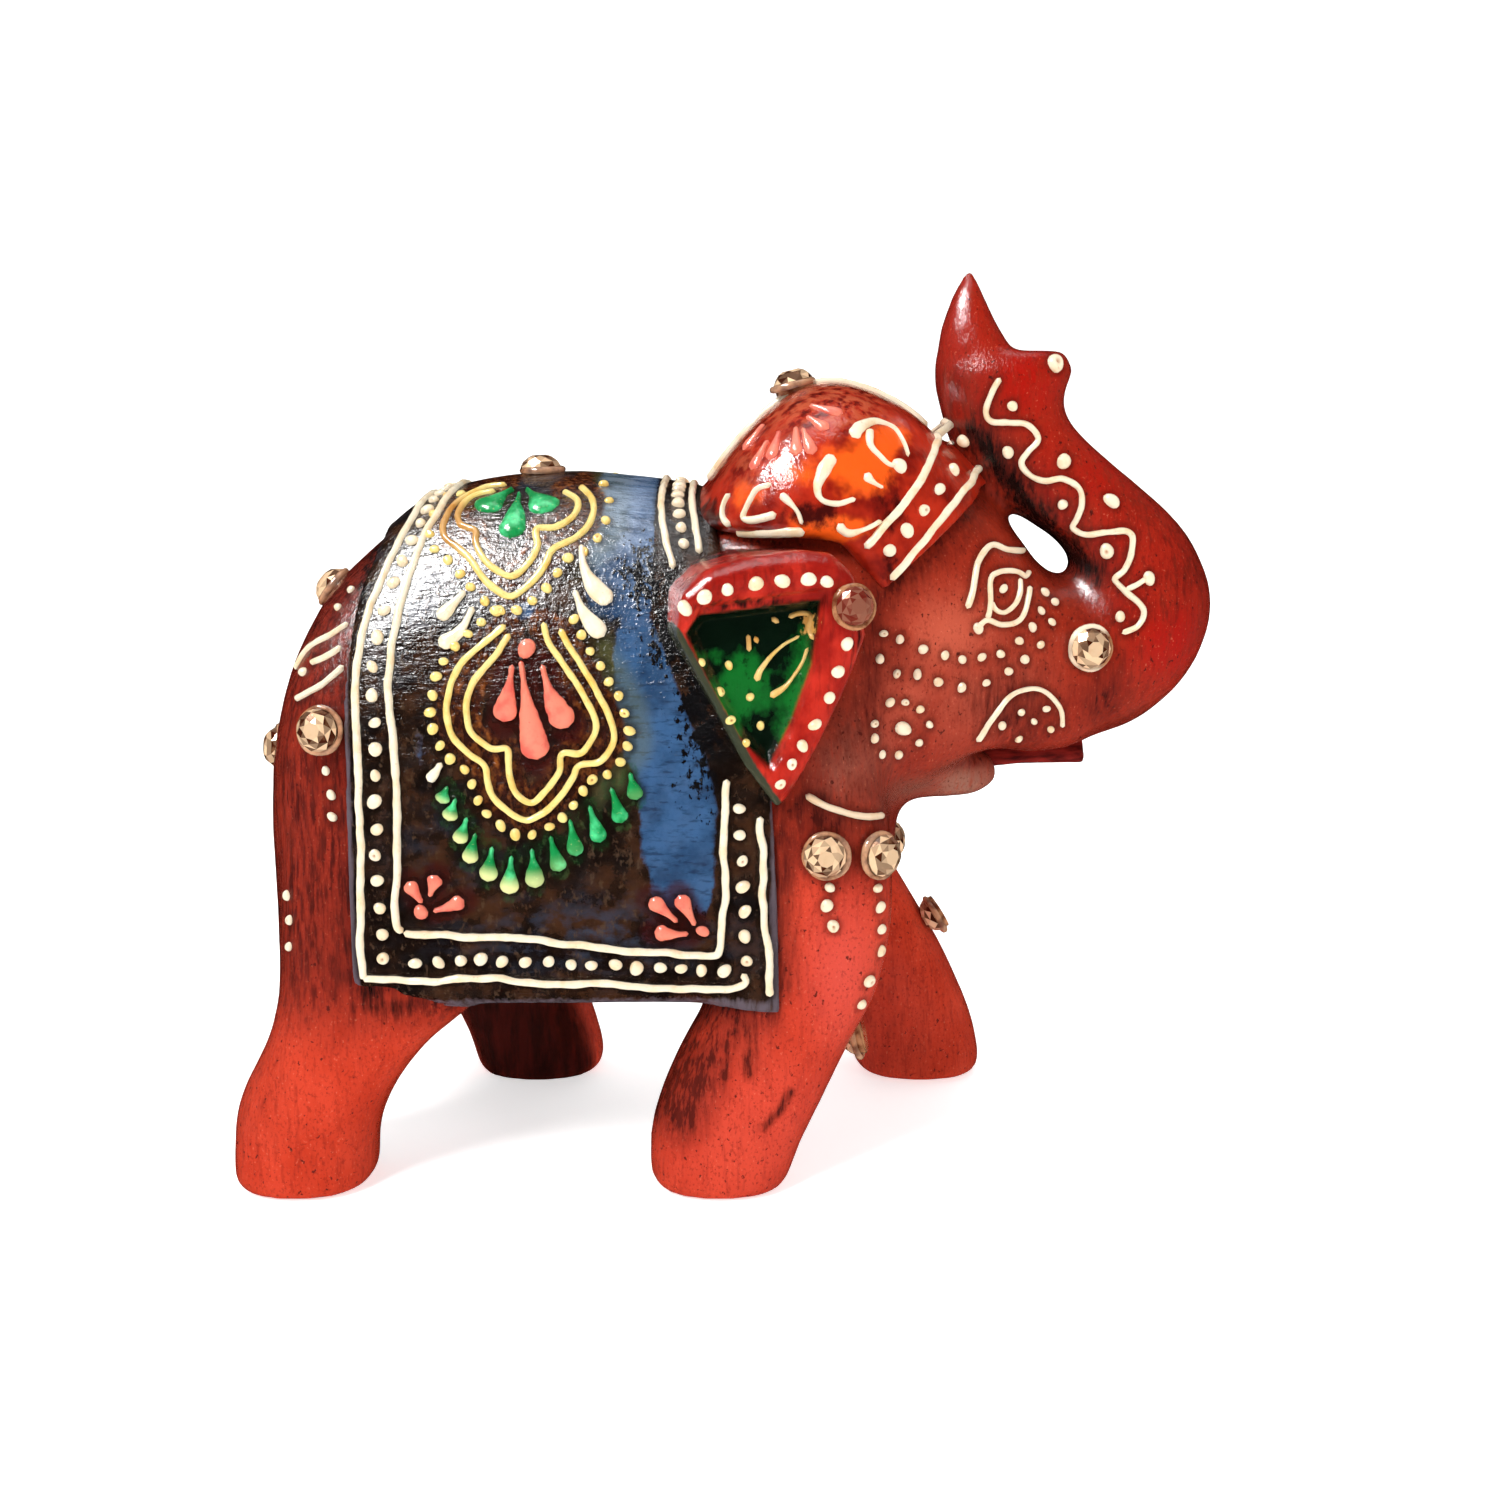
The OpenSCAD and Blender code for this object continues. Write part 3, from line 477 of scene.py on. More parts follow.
# ---------------------------------------------------------------- materials
class Graph:
    """Short way to write a procedural material."""

    def __init__(self, name):
        self.mat = bpy.data.materials.new(name)
        self.mat.use_nodes = True
        self.tree = self.mat.node_tree
        self.shader = self.tree.nodes["Principled BSDF"]
        self.place = self.tree.nodes.new("ShaderNodeTexCoord").outputs["Object"]

    def put(self, target, value):
        """Gives a socket a number, a screen colour, a painted mask by its name, or another output."""
        if isinstance(value, str):
            n = self.tree.nodes.new("ShaderNodeAttribute")
            n.attribute_name = value
            value = n.outputs["Fac"]
        if isinstance(value, (int, float)):
            target.default_value = value
        elif isinstance(value, tuple):
            target.default_value = linear(value)
        else:
            self.tree.links.new(value, target)

    def noise(self, size, stretch=(1, 1, 1), detail=3.0, rough=0.55):
        """Noise with features of about size mm, drawn out along an axis by stretch."""
        m = self.tree.nodes.new("ShaderNodeMapping")
        m.inputs["Scale"].default_value = [1.0 / (size * MM * s) for s in stretch]
        self.tree.links.new(self.place, m.inputs["Vector"])
        n = self.tree.nodes.new("ShaderNodeTexNoise")
        n.inputs["Scale"].default_value = 1.0
        n.inputs["Detail"].default_value = detail
        n.inputs["Roughness"].default_value = rough
        self.tree.links.new(m.outputs["Vector"], n.inputs["Vector"])
        return n.outputs["Fac"]

    def math(self, kind, a, b, clamp=False):
        n = self.tree.nodes.new("ShaderNodeMath")
        n.operation = kind
        n.use_clamp = clamp
        self.put(n.inputs[0], a)
        self.put(n.inputs[1], b)
        return n.outputs[0]

    def times(self, a, b, clamp=False):
        return self.math("MULTIPLY", a, b, clamp)

    def plus(self, a, b):
        return self.math("ADD", a, b)

    def step(self, value, low, high, share=1.0):
        """Smooth step of a value between two levels, up to a share of the whole."""
        n = self.tree.nodes.new("ShaderNodeMapRange")
        n.interpolation_type = "SMOOTHSTEP"
        self.put(n.inputs["Value"], value)
        n.inputs["From Min"].default_value = low
        n.inputs["From Max"].default_value = high
        n.inputs["To Max"].default_value = share
        return n.outputs["Result"]

    def brushed(self, mask, streak, soft, gain):
        """A mask whose edge is broken up by noise like a dry brush."""
        s = self.plus(self.times(self.plus(streak, -0.5), gain * 1.9), mask)
        return self.times(self.step(s, 0.5 - soft, 0.5 + soft), self.step(mask, 0.02, 0.12))

    def mix(self, amount, a, b):
        n = self.tree.nodes.new("ShaderNodeMix")
        n.data_type = "RGBA"
        self.put(n.inputs["Factor"], amount)
        self.put(n.inputs["A"], a)
        self.put(n.inputs["B"], b)
        return n.outputs["Result"]

    def over(self, colour, *coats):
        """Lays coats of (amount, colour) over a colour, in their order."""
        for amount, shade in coats:
            colour = self.mix(amount, colour, shade)
        return colour

    def finish(self, colour, rough, coat, coat_rough, bump=None, bump_mm=0.0, coat_ior=1.45):
        s = self.shader
        for socket, value in (("Base Color", colour), ("Roughness", rough), ("Specular IOR Level", 0.06),
                              ("Coat Weight", coat), ("Coat IOR", coat_ior), ("Coat Roughness", coat_rough)):
            self.put(s.inputs[socket], value)
        if bump is not None:
            b = self.tree.nodes.new("ShaderNodeBump")
            b.inputs["Strength"].default_value = 1.0
            b.inputs["Distance"].default_value = bump_mm * MM
            self.tree.links.new(bump, b.inputs["Height"])
            for socket in ("Normal", "Coat Normal"):
                self.tree.links.new(b.outputs["Normal"], s.inputs[socket])
        return self.mat


def body_material():
    g = Graph("lacquered_red_paint")
    streak = g.noise(0.55, (1, 1, 7), 5, 0.65)
    wide = g.noise(1.7, (1, 1, 5), 4, 0.6)
    fine = g.noise(0.3, (1, 1, 1.5), 3)
    speck = g.noise(0.55, (1, 1, 1.2), 2)
    patch = g.noise(7, (1, 1, 1.6), 4, 0.6)
    strokes = g.plus(g.times(streak, 0.6), g.times(wide, 0.4))
    red = g.over(g.mix(g.step(patch, 0.3, 0.7), (138, 34, 17), (172, 50, 28)),
                 (g.step(patch, 0.48, 0.62, 0.4), (98, 24, 14)),
                 (g.times(g.step(streak, 0.45, 0.6, 0.85), "grain"), (84, 17, 9)),
                 (g.times(g.step(streak, 0.56, 0.64, 0.5), "grain"), (38, 10, 7)))
    coral = g.over(g.mix(g.step(patch, 0.3, 0.7), (188, 50, 24), (208, 64, 38)),
                   (g.step(streak, 0.5, 0.66, 0.45), (146, 36, 18)))
    # dark glaze and painted shade, both from the dark mask: thin where it is painted lightly, closed where it
    # is painted fully
    ripple = g.plus(g.times(g.plus(strokes, -0.5), 5.5), 1.0)
    glaze = g.math("MAXIMUM", g.times("dark", ripple, True), g.times(g.plus("dark", -0.45), 1.7, True))
    colour = g.over(red,
                    (g.brushed("coral", strokes, 0.45, 0.5), coral),
                    (g.times("rose", 0.85), (214, 78, 64)),
                    (g.times("vivid", g.step(strokes, 0.7, 0.46)), (166, 16, 4)),
                    (g.times("pale", g.step(patch, 0.15, 0.55)), (198, 90, 66)),
                    (g.times("grey", g.step(streak, 0.15, 0.55)), (150, 104, 86)),
                    (g.step(fine, 0.54, 0.68, 0.4), (92, 22, 12)),
                    (g.step(speck, 0.66, 0.71, 0.8), (44, 12, 8)),
                    (g.step(fine, 0.38, 0.26, 0.3), (236, 128, 96)),
                    # the dark glaze and the painted shade laid on
                    (g.times(glaze, 0.92), g.mix(g.step(wide, 0.35, 0.65), (66, 14, 8), (104, 28, 15))),
                    (g.step(glaze, 0.8, 1.0, 0.4), (34, 8, 6)),
                    # near-black from the black mask, partly painted shade
                    (g.brushed("black", strokes, 0.3, 0.8), (12, 5, 4)),
                    # painted shade covering the far rear leg's inner side
                    ("gloom", g.mix(g.step(wide, 0.4, 0.6), (44, 8, 3), (72, 14, 6))),
                    # lacquer pooled against the piped lines, with painted shade beside them
                    (g.times("pool", 0.5), (64, 14, 8)))
    bump = g.plus(g.times(streak, 0.8), g.times(fine, 0.35))
    return g.finish(colour, 0.45, 1.0, 0.09, bump, 0.13)


def cloth_material():
    g = Graph("lacquered_saddle_cloth_paint")
    dabs = g.noise(0.7, (1, 1, 1.5), 4, 0.65)
    soft = g.noise(4.5, (1, 1, 1), 4, 0.6)
    wide = g.noise(2.2, (1.6, 1, 1), 4, 0.65)
    streak = g.noise(0.6, (1, 1, 5), 3)
    weave = g.noise(0.5, (4, 1, 1), 3, 0.6)
    base = g.over(g.mix(g.step(soft, 0.4, 0.7), (20, 10, 6), (66, 38, 20)),
                  # painted blue-grey sheen on the dark ground
                  (g.times("steel", g.step(wide, 0.42, 0.62)), (52, 60, 78)),
                  (g.step(dabs, 0.54, 0.68, 0.6), (84, 62, 44)))
    blue = g.over(g.mix(g.step(soft, 0.35, 0.65), (34, 62, 96), (54, 90, 132)),
                  (g.step(weave, 0.5, 0.68, 0.6), (22, 36, 58)),
                  # painted pale blue sheen on the blue
                  (g.times("sheen", g.step(wide, 0.3, 0.6)), (150, 172, 204)))
    halo = g.mix(g.step(dabs, 0.45, 0.7), (58, 20, 8), (140, 76, 28))
    blue_edge = g.plus(g.times(soft, 0.4), g.times(dabs, 0.6))
    colour = g.over(base,
                    (g.brushed("blue", blue_edge, 0.14, 0.6), blue),
                    (g.brushed("dabs", dabs, 0.08, 1.2), (12, 10, 12)),
                    (g.times("olive", 0.6), (100, 106, 62)),
                    (g.brushed("halo", dabs, 0.3, 0.35), halo),
                    (g.brushed("green", dabs, 0.2, 0.3), (8, 78, 34)),
                    ("wine", (58, 9, 7)),
                    (g.brushed("edge", streak, 0.3, 0.6), (96, 84, 92)),
                    # lacquer pooled against the piped lines, with painted shade beside them
                    (g.times("pool", 0.6), (18, 7, 4)))
    coat_rough = g.plus(g.step(wide, 0.4, 0.6, 0.16), 0.08)
    bump = g.plus(g.times(dabs, 0.6), g.times(weave, 0.6))
    return g.finish(colour, 0.35, 1.0, coat_rough, bump, 0.26, coat_ior=1.6)


def cap_material():
    g = Graph("lacquered_cap_paint")
    dabs = g.noise(1.2, (1, 1, 1.4), 4, 0.6)
    soft = g.noise(4.0, (1, 1, 1), 3, 0.6)
    colour = g.over(g.mix(g.step(soft, 0.3, 0.62), (120, 18, 8), (186, 44, 22)),
                    (g.brushed("orange", soft, 0.22, 0.8), (246, 92, 24)),
                    # pink paint and painted highlight on the dome's top, broken by dark dabs
                    (g.times("pink", g.step(dabs, 0.42, 0.6)), (204, 92, 58)),
                    (g.times("pink", g.step(dabs, 0.47, 0.36)), (84, 14, 8)),
                    (g.brushed("dark", dabs, 0.25, 0.8), (66, 10, 6)))
    return g.finish(colour, 0.35, 1.0, 0.1, dabs, 0.16)


def ear_material():
    g = Graph("lacquered_ear_paint")
    dabs = g.noise(0.8, (1, 1, 1.4), 4, 0.65)
    soft = g.noise(3.2, (1, 1, 1.3), 4, 0.6)
    streak = g.noise(0.7, (1, 1, 5), 3)
    red = g.over(g.mix(g.step(soft, 0.35, 0.7), (150, 24, 16), (196, 46, 32)),
                 (g.step(streak, 0.5, 0.72, 0.5), (90, 16, 12)),
                 # painted shade from the dark mask
                 (g.brushed("dark", streak, 0.25, 0.7), (46, 10, 8)))
    green = g.over(g.mix(g.brushed("leaf", soft, 0.22, 0.9), (6, 22, 11), (16, 104, 36)),
                   (g.step(dabs, 0.56, 0.68, 0.6), (4, 9, 6)))
    colour = g.over(red, ("hollow", green),
                    (g.brushed("olive", dabs, 0.3, 0.3), (58, 62, 46)),
                    (g.brushed("amber", dabs, 0.1, 0.9), (214, 160, 84)))
    return g.finish(colour, 0.36, 1.0, 0.08, g.plus(dabs, g.times(streak, 0.5)), 0.1)


def tongue_material():
    g = Graph("lacquered_tongue_paint")
    streak = g.noise(0.6, (5, 1, 1), 3)
    return g.finish(g.mix(g.step(streak, 0.35, 0.7), (70, 12, 10), (128, 30, 24)), 0.3, 1.0, 0.08, streak,
                    0.03)


def paste_material(name, light, deep, glaze):
    g = Graph(name)
    soft = g.noise(2.2, (1, 1, 1), 3)
    fine = g.noise(0.3, (1, 1, 1), 2)
    colour = g.over(g.mix(g.step(soft, 0.42, 0.75), light, deep),
                    (g.step(fine, 0.64, 0.74, 0.35), glaze), ("tint", glaze))
    return g.finish(colour, 0.42, 0.7, 0.14, fine, 0.02)


def stone_material():
    g = Graph("foiled_faceted_glass")
    cloud = g.noise(1.1, (1, 1, 1), 2)
    # the facet brightness is a painted reflection of the facets
    colour = g.over((70, 30, 15), ("facet", (252, 214, 172)),
                    (g.step(cloud, 0.5, 0.7, 0.25), (206, 152, 112)), (g.times("blush", 0.85), (118, 34, 26)))
    g.shader.inputs["Metallic"].default_value = 0.15
    return g.finish(colour, 0.2, 0.8, 0.03)


def glue_material():
    g = Graph("clear_amber_glue")
    cloud = g.noise(1.4, (1, 1, 1), 3)
    colour = g.over(g.mix(g.step(cloud, 0.3, 0.62), (104, 50, 30), (190, 132, 92)),
                    ("tint", (250, 232, 204)))
    return g.finish(colour, 0.22, 1.0, 0.05, cloud, 0.04)


PASTES = {"cream_paste": paste_material("cream_paste", (253, 240, 212), (244, 216, 172), (196, 132, 84)),
          "yellow_paste": paste_material("yellow_paste", (248, 222, 140), (236, 190, 92), (178, 88, 30)),
          "green_paste": paste_material("green_paste", (18, 140, 70), (84, 222, 146), (228, 230, 158)),
          "pink_paste": paste_material("pink_paste", (243, 134, 110), (226, 98, 84), (160, 60, 50)),
          "glue_paste": glue_material()}
STONE = stone_material()


# ---------------------------------------------------------------- the painted design, in mm
# Side view (x, z) of the right side; the left side is its mirror image.
OUTER_BORDER_REAR = [(-39.4, 26.2), (-39.6, 30), (-39.3, 36), (-39.0, 44.3), (-39.0, 52.8), (-39.0, 59.4),
                     (-38.5, 63.2), (-37.8, 66.5)]
OUTER_BORDER_TOP = [(-37.2, 49), (-36.4, 54), (-35.6, 60), (-34.8, 66), (-34.4, 74), (-34.2, 82), (-34.2, 90)]
INNER_BORDER_REAR = [(-34.9, 31.6), (-35.7, 33), (-35.2, 40), (-35.0, 47.4), (-35.1, 52.8), (-35.6, 58),
                     (-35.3, 61.5), (-34.6, 66)]
INNER_BORDER_TOP = [(-34.1, 49), (-33.4, 54), (-32.7, 60), (-31.8, 66), (-31.2, 74), (-30.9, 82), (-30.8, 90)]
MIDDLE_BORDER_REAR = [(-37.2, 28.6), (-37.4, 40), (-37.1, 52.8), (-37.1, 60), (-36.2, 66)]
MIDDLE_BORDER_TOP = [(-35.4, 50), (-34.4, 57), (-33.4, 64), (-32.8, 74), (-32.5, 82), (-32.5, 90)]
OUTER_BORDER_LOW = [(-39.6, 26.3), (-33, 26.0), (-26.1, 26.3), (-19.5, 25.6), (-13.4, 25.6), (-8, 25.0),
                    (-3.9, 24.9), (0.6, 24.9), (1.9, 25.6), (1.5, 26.6)]
OUTER_BORDER_FRONT = [(3.6, 44.2), (3.5, 42.5), (3.9, 39.1), (3.8, 35.7), (4.1, 32.2), (4.4, 28.8),
                      (4.5, 26.1), (4.6, 24.2)]
INNER_BORDER_LOW = [(-34.9, 31.6), (-29, 31.2), (-22.8, 31.0), (-13.3, 29.8), (-7, 29.2), (-1.9, 28.8),
                    (-0.9, 29.6), (-0.6, 32.5), (-0.1, 35.9), (-0.4, 39.3), (-0.3, 44.4), (-0.1, 48.4)]
MIDDLE_BORDER_LOW = [(-33.8, 28.2), (-24, 28.4), (-14, 27.8), (-6, 27.2), (-0.4, 27.0)]
MIDDLE_BORDER_FRONT = [(1.9, 28.0), (1.9, 32), (1.7, 37), (1.5, 41), (1.2, 45.1)]
# Across the back: (x, height angle)
FRONT_TOP_INNER = [(-5.8, 52), (-6.2, 56), (-6.9, 62), (-7.3, 68), (-7.4, 76), (-7.3, 84), (-7.3, 90)]
FRONT_TOP_OUTER = [(-3.0, 56), (-3.4, 63), (-3.9, 70), (-4.1, 78), (-4.1, 84), (-4.1, 90)]
FRONT_TOP_MIDDLE = [(-4.7, 58), (-5.3, 66), (-5.6, 74), (-5.6, 82), (-5.6, 90)]

UPPER_OUTER = [(-24.6, 78.3), (-27.4, 77.9), (-29.9, 76.4), (-30.7, 74.7), (-30.2, 73.2), (-28.6, 72.2),
               (-27.0, 70.8), (-25.2, 68.8), (-22.9, 67.5), (-20.9, 68.6), (-19.2, 70.6), (-18.5, 72.2),
               (-16.2, 73.2), (-14.7, 75.0), (-14.6, 76.8), (-16.4, 78.3)]
UPPER_INNER = [(-25.6, 77.7), (-28.0, 77.2), (-29.2, 75.9), (-28.9, 74.5), (-27.1, 73.9), (-26.9, 72.8),
               (-25.6, 71.0), (-23.0, 69.5), (-21.2, 70.7), (-20.2, 72.4), (-20.4, 74.1), (-18.4, 74.3),
               (-16.6, 75.4), (-16.4, 76.8), (-18.2, 77.8)]
UPPER_PETALS = [[(-23.6, 77.9), (-25.0, 77.1), (-27.0, 75.8)], [(-22.9, 77.6), (-22.9, 75.6), (-23.2, 73.2)],
                [(-22.3, 77.9), (-20.9, 77.1), (-19.0, 75.9)]]
LOWER_OUTER = [(-23.2, 64.6), (-26.2, 62.2), (-28.3, 60.0), (-29.2, 57.5), (-29.4, 55.1), (-28.7, 52.8),
               (-27.2, 51.3), (-25.6, 50.0), (-25.3, 48.2), (-24.2, 45.9), (-21.6, 44.1), (-19.9, 44.7),
               (-17.9, 46.3), (-16.3, 48.6), (-15.6, 49.9), (-13.4, 50.4), (-12.0, 52.6), (-12.4, 55.2),
               (-14.1, 58.6), (-15.9, 61.4), (-17.6, 64.2)]
LOWER_INNER = [(-22.7, 63.7), (-24.8, 60.9), (-26.7, 58.6), (-27.4, 55.6), (-26.9, 53.4), (-25.0, 51.9),
               (-23.2, 51.8), (-23.1, 50.4), (-23.0, 48.6), (-22.2, 46.9), (-20.7, 46.0), (-19.3, 47.2),
               (-17.7, 49.3), (-17.3, 51.2), (-15.2, 51.4), (-13.9, 53.4), (-14.0, 55.3), (-15.2, 57.7),
               (-17.2, 60.6), (-18.8, 63.0), (-19.3, 64.9)]
LOWER_PETALS = [[(-22.5, 60.6), (-22.9, 58), (-23.5, 54.6)], [(-21.6, 61.0), (-20.9, 56), (-20.0, 50.6)],
                [(-19.4, 60.6), (-18.4, 57.2), (-16.7, 54.0)]]
FRINGE = [((-29.5, 47.8), (-30.3, 45.9), 0.6), ((-28.7, 46.5), (-29.6, 44.0), 0.9),
          ((-27.6, 44.4), (-28.6, 41.5), 1.0), ((-26.7, 42.7), (-27.6, 39.3), 1.0),
          ((-25.0, 41.2), (-25.7, 37.3), 0.9), ((-23.0, 40.2), (-23.4, 35.9), 1.0),
          ((-20.8, 41.0), (-20.5, 36.6), 0.7), ((-18.8, 42.4), (-17.9, 38.4), 0.15),
          ((-16.7, 44.2), (-16.1, 40.1), 0.05), ((-14.6, 45.7), (-13.5, 41.6), 0.0),
          ((-12.3, 47.6), (-11.2, 43.7), 0.0), ((-10.3, 49.2), (-9.6, 46.2), 0.1)]
CORNER_SPRIGS = [[(-31.9, 35.6), (-31.5, 36.8), (-31.0, 38.0)], [(-32.7, 34.9), (-33.5, 36.1), (-34.2, 37.3)],
                 [(-31.6, 34.0), (-29.8, 34.5), (-28.2, 35.2)], [(-3.5, 32.2), (-4.4, 34.0), (-5.2, 35.7)],
                 [(-5.4, 32.6), (-6.9, 34.0), (-8.3, 35.3)], [(-4.2, 31.3), (-6.1, 31.3), (-7.9, 31.6)]]
COMMAS = [[(-15.6, 72.6), (-14.9, 69.8), (-13.4, 67.8), (-12.1, 66.9)],
          [(-16.1, 68.1), (-14.9, 65.6), (-12.9, 63.4)], [(-26.6, 66.4), (-28.0, 64.0), (-30.2, 62.4)],
          [(-27.6, 68.0), (-29.2, 66.2), (-30.4, 65.2)], [(-30.1, 50.3), (-30.8, 49.2), (-31.6, 48.3)]]


def shifted(points, by, centre):
    """Design path moved outwards from a centre by a distance."""
    c = Vector(centre)
    out = []
    for i, p in enumerate(points):
        a, b = points[max(0, i - 1)], points[min(len(points) - 1, i + 1)]
        t = (Vector(b) - Vector(a)).normalized()
        n = Vector((t.y, -t.x))
        if n.dot(Vector(p) - c) < 0:
            n = -n
        out.append(tuple(Vector(p) + n * by))
    return out


# ---- saddle border
p = Paste(11, on_cloth, 0.06)
for rear, top in ((OUTER_BORDER_REAR, OUTER_BORDER_TOP), (INNER_BORDER_REAR, INNER_BORDER_TOP)):
    half = side_line(on_cloth, rear) + ring_line(on_cloth, top)
    p.line(both_ways(half), 0.88, mirror=False)
for pts in (OUTER_BORDER_LOW, OUTER_BORDER_FRONT, INNER_BORDER_LOW):
    p.stroke(pts, 0.86, wobble=0.16)
for pts in (FRONT_TOP_INNER, FRONT_TOP_OUTER):
    half = ring_line(on_cloth, pts)
    p.line(both_ways(half), 0.8, mirror=False)
p.finish("saddle_border_lines", "cream_paste")

p = Paste(12, on_cloth, 0.10)
for pts, pitch in ((MIDDLE_BORDER_REAR, 2.9), (MIDDLE_BORDER_LOW, 2.45), (MIDDLE_BORDER_FRONT, 2.9)):
    for x, z in spaced(pts, pitch):
        jx, jz = p.rng.uniform(-0.18, 0.18), p.rng.uniform(-0.2, 0.2)
        p.dot(x + jx, z + jz, p.rng.uniform(1.2, 1.62), 0.15)
for pts, pitch in ((MIDDLE_BORDER_TOP, 2.7), (FRONT_TOP_MIDDLE, 1.9)):
    places = spaced([(x, a * 0.5) for x, a in pts], pitch)
    for i, (x, a) in enumerate(places):
        p.bead(from_ring(on_cloth, x, a / 0.5), 1.4, mirror=i < len(places) - 1, pit=0.1)
p.finish("saddle_border_beads", "cream_paste")

# ---- medallions
p = Paste(13, on_cloth)
for pts in (UPPER_OUTER, UPPER_INNER):
    p.stroke(pts, 0.8, 0.42, tint=lambda t: 0.6 * float(ramp(0.08, 0.18, t) * ramp(0.42, 0.32, t)))
p.finish("upper_medallion_outlines", "yellow_paste")
p = Paste(14, on_cloth)
for pts, fat in zip(UPPER_PETALS, (4.0, 3.0, 4.2)):
    p.drop(pts, 0.5, fat, 0.7, tint=0.0)
p.finish("upper_medallion_petals", "green_paste")
p = Paste(15, on_cloth)
for pts in (LOWER_OUTER, LOWER_INNER):
    p.stroke(pts, 0.74, 0.42)
p.finish("lower_medallion_outlines", "yellow_paste")
p = Paste(16, on_cloth)
for pts, fat in zip(LOWER_PETALS, (2.7, 3.1, 2.9)):
    p.drop(pts, 0.6, fat, 0.75)
p.dot(-21.0, 62.2, 2.2, 0)
p.finish("lower_medallion_petals", "pink_paste")
p = Paste(17, on_cloth)
for pts, away, pitch, size, centre in ((LOWER_OUTER, 1.7, 1.85, 1.12, (-20.8, 54.5)),
                                       (UPPER_OUTER[1:], 1.6, 1.9, 1.08, (-22.6, 74.5))):
    for x, z in spaced(shifted(pts, away, centre), pitch):
        if z < 79:
            p.dot(x + p.rng.uniform(-0.1, 0.1), z + p.rng.uniform(-0.1, 0.1), size, 0.12)
p.finish("medallion_beads", "yellow_paste")

# ---- drops and sprigs of the cloth
p = Paste(18, on_cloth)
for a, b, ivory in FRINGE:
    mid = ((a[0] + b[0]) / 2, (a[1] + b[1]) / 2)
    p.drop([a, mid, b], 0.5, 1.9 if b[1] > 38 else 2.15, 0.6, tint=lambda t,
           k=ivory: k * float(ramp(0.45, 0.85, t)))
p.finish("fringe_drops", "green_paste")
p = Paste(19, on_cloth)
for pts in CORNER_SPRIGS:
    p.drop(pts, 0.6, 1.9, 0.6)
for spot in ((-2.7, 31.6), (-32.9, 33.9)):
    p.dot(*spot, 1.5, 0)
p.finish("corner_sprigs", "pink_paste")
p = Paste(20, on_cloth)
for pts in COMMAS:
    fat = 2.1 if pts[0][0] > -20 else (1.7 if pts[0][1] > 60 else 1.3)
    p.drop(pts, 0.7, fat, 0.65)
p.finish("comma_strokes", "cream_paste")

# ---- cap
CAP_RIDGE = [(22.8, 0), (20, 0), (16, 0), (12, 0), (8, 0), (4, 0), (0, 0), (-2.5, 0)]


def from_top(tree, x, y):
    loc, nor, _, _ = tree.ray_cast(Vector((x, y, 130)), Vector((0, 0, -1)))
    return loc, nor


p = Paste(21, on_head)
p.line([from_top(on_head, q.x, q.y) for q in through(CAP_RIDGE)], 0.8, mirror=False)
p.finish("cap_ridge_line", "cream_paste")
p = Paste(22, on_head, 0.08)
SCROLLS = [([(13.2, 83.8), (14.3, 84.9), (16.0, 85.3), (18.0, 84.5), (19.1, 82.9), (19.5, 81.6)], 1.9, 0.5,
            True), ([(15.2, 84.6), (15.2, 83.0), (16.1, 81.9), (17.2, 80.9), (18.7, 80.7)], 1.3, 0.6, True),
           ([(11.2, 82.0), (10.1, 80.5), (9.5, 78.8), (10.0, 77.4), (11.7, 76.9), (13.6, 77.4)], 2.0, 0.8,
            True), ([(16.6, 78.5), (15.5, 79.1), (14.5, 80.0)], 1.7, 0.5, False),
           ([(16.4, 75.1), (14.7, 74.3), (13.1, 73.8), (12.2, 74.2), (11.7, 74.9)], 1.3, 0.7, False),
           ([(4.7, 79.0), (3.1, 78.4), (2.2, 76.6), (1.8, 75.4), (3.2, 75.3), (5.2, 75.9)], 1.2, 0.8, False),
           ([(7.9, 74.8), (7.3, 76.2), (6.3, 77.4), (5.6, 78.0)], 1.2, 0.6, False),
           ([(0.3, 77.8), (-0.4, 76.4), (-0.4, 75.2), (0.4, 74.4)], 1.1, 0.7, False)]
for pts, fat, thin, fat_first in SCROLLS:
    p.stroke(list(reversed(pts)) if fat_first else pts, 0.76 * fat, 0.5, lambda t, a=thin,
             b=fat: (a + (b - a) * float(ramp(0.35, 0.9, t))) / b)
p.stroke([(0.9, 73.6), (3.9, 73.7), (6.4, 73.9), (8.2, 74.0)], 1.2, 0.45)
p.dot(18.4, 80.7, 1.6, 0)
p.finish("cap_scrolls", "cream_paste")
p = Paste(23, on_head)
PETALS = [((8.8, 87.0), (12.4, 86.2)), ((8.4, 85.9), (10.8, 84.6)), ((8.0, 84.8), (9.0, 82.0)),
          ((7.3, 84.9), (7.3, 81.9)), ((5.6, 84.4), (4.5, 81.4)), ((4.4, 83.4), (2.5, 80.3)),
          ((4.0, 85.0), (1.6, 82.2))]
for a, b in PETALS:
    p.drop([a, ((a[0] + b[0]) / 2, (a[1] + b[1]) / 2), b], 0.6, 1.5, 0.4)
p.finish("cap_petals", "pink_paste")
p = Paste(24, on_head, 0.10)
BAND_INNER = [(14.6, 72.2), (17.5, 75.3), (20.3, 78.4), (22.2, 81.3), (23.2, 82.9)]
BAND_OUTER = [(17.4, 68.8), (19.8, 71.2), (22.7, 74.5), (25.3, 77.1), (27.2, 78.6)]
BAND_MIDDLE = [(17.3, 71.9), (19.1, 73.8), (21.1, 75.9), (23.3, 78.4), (24.9, 80.0)]


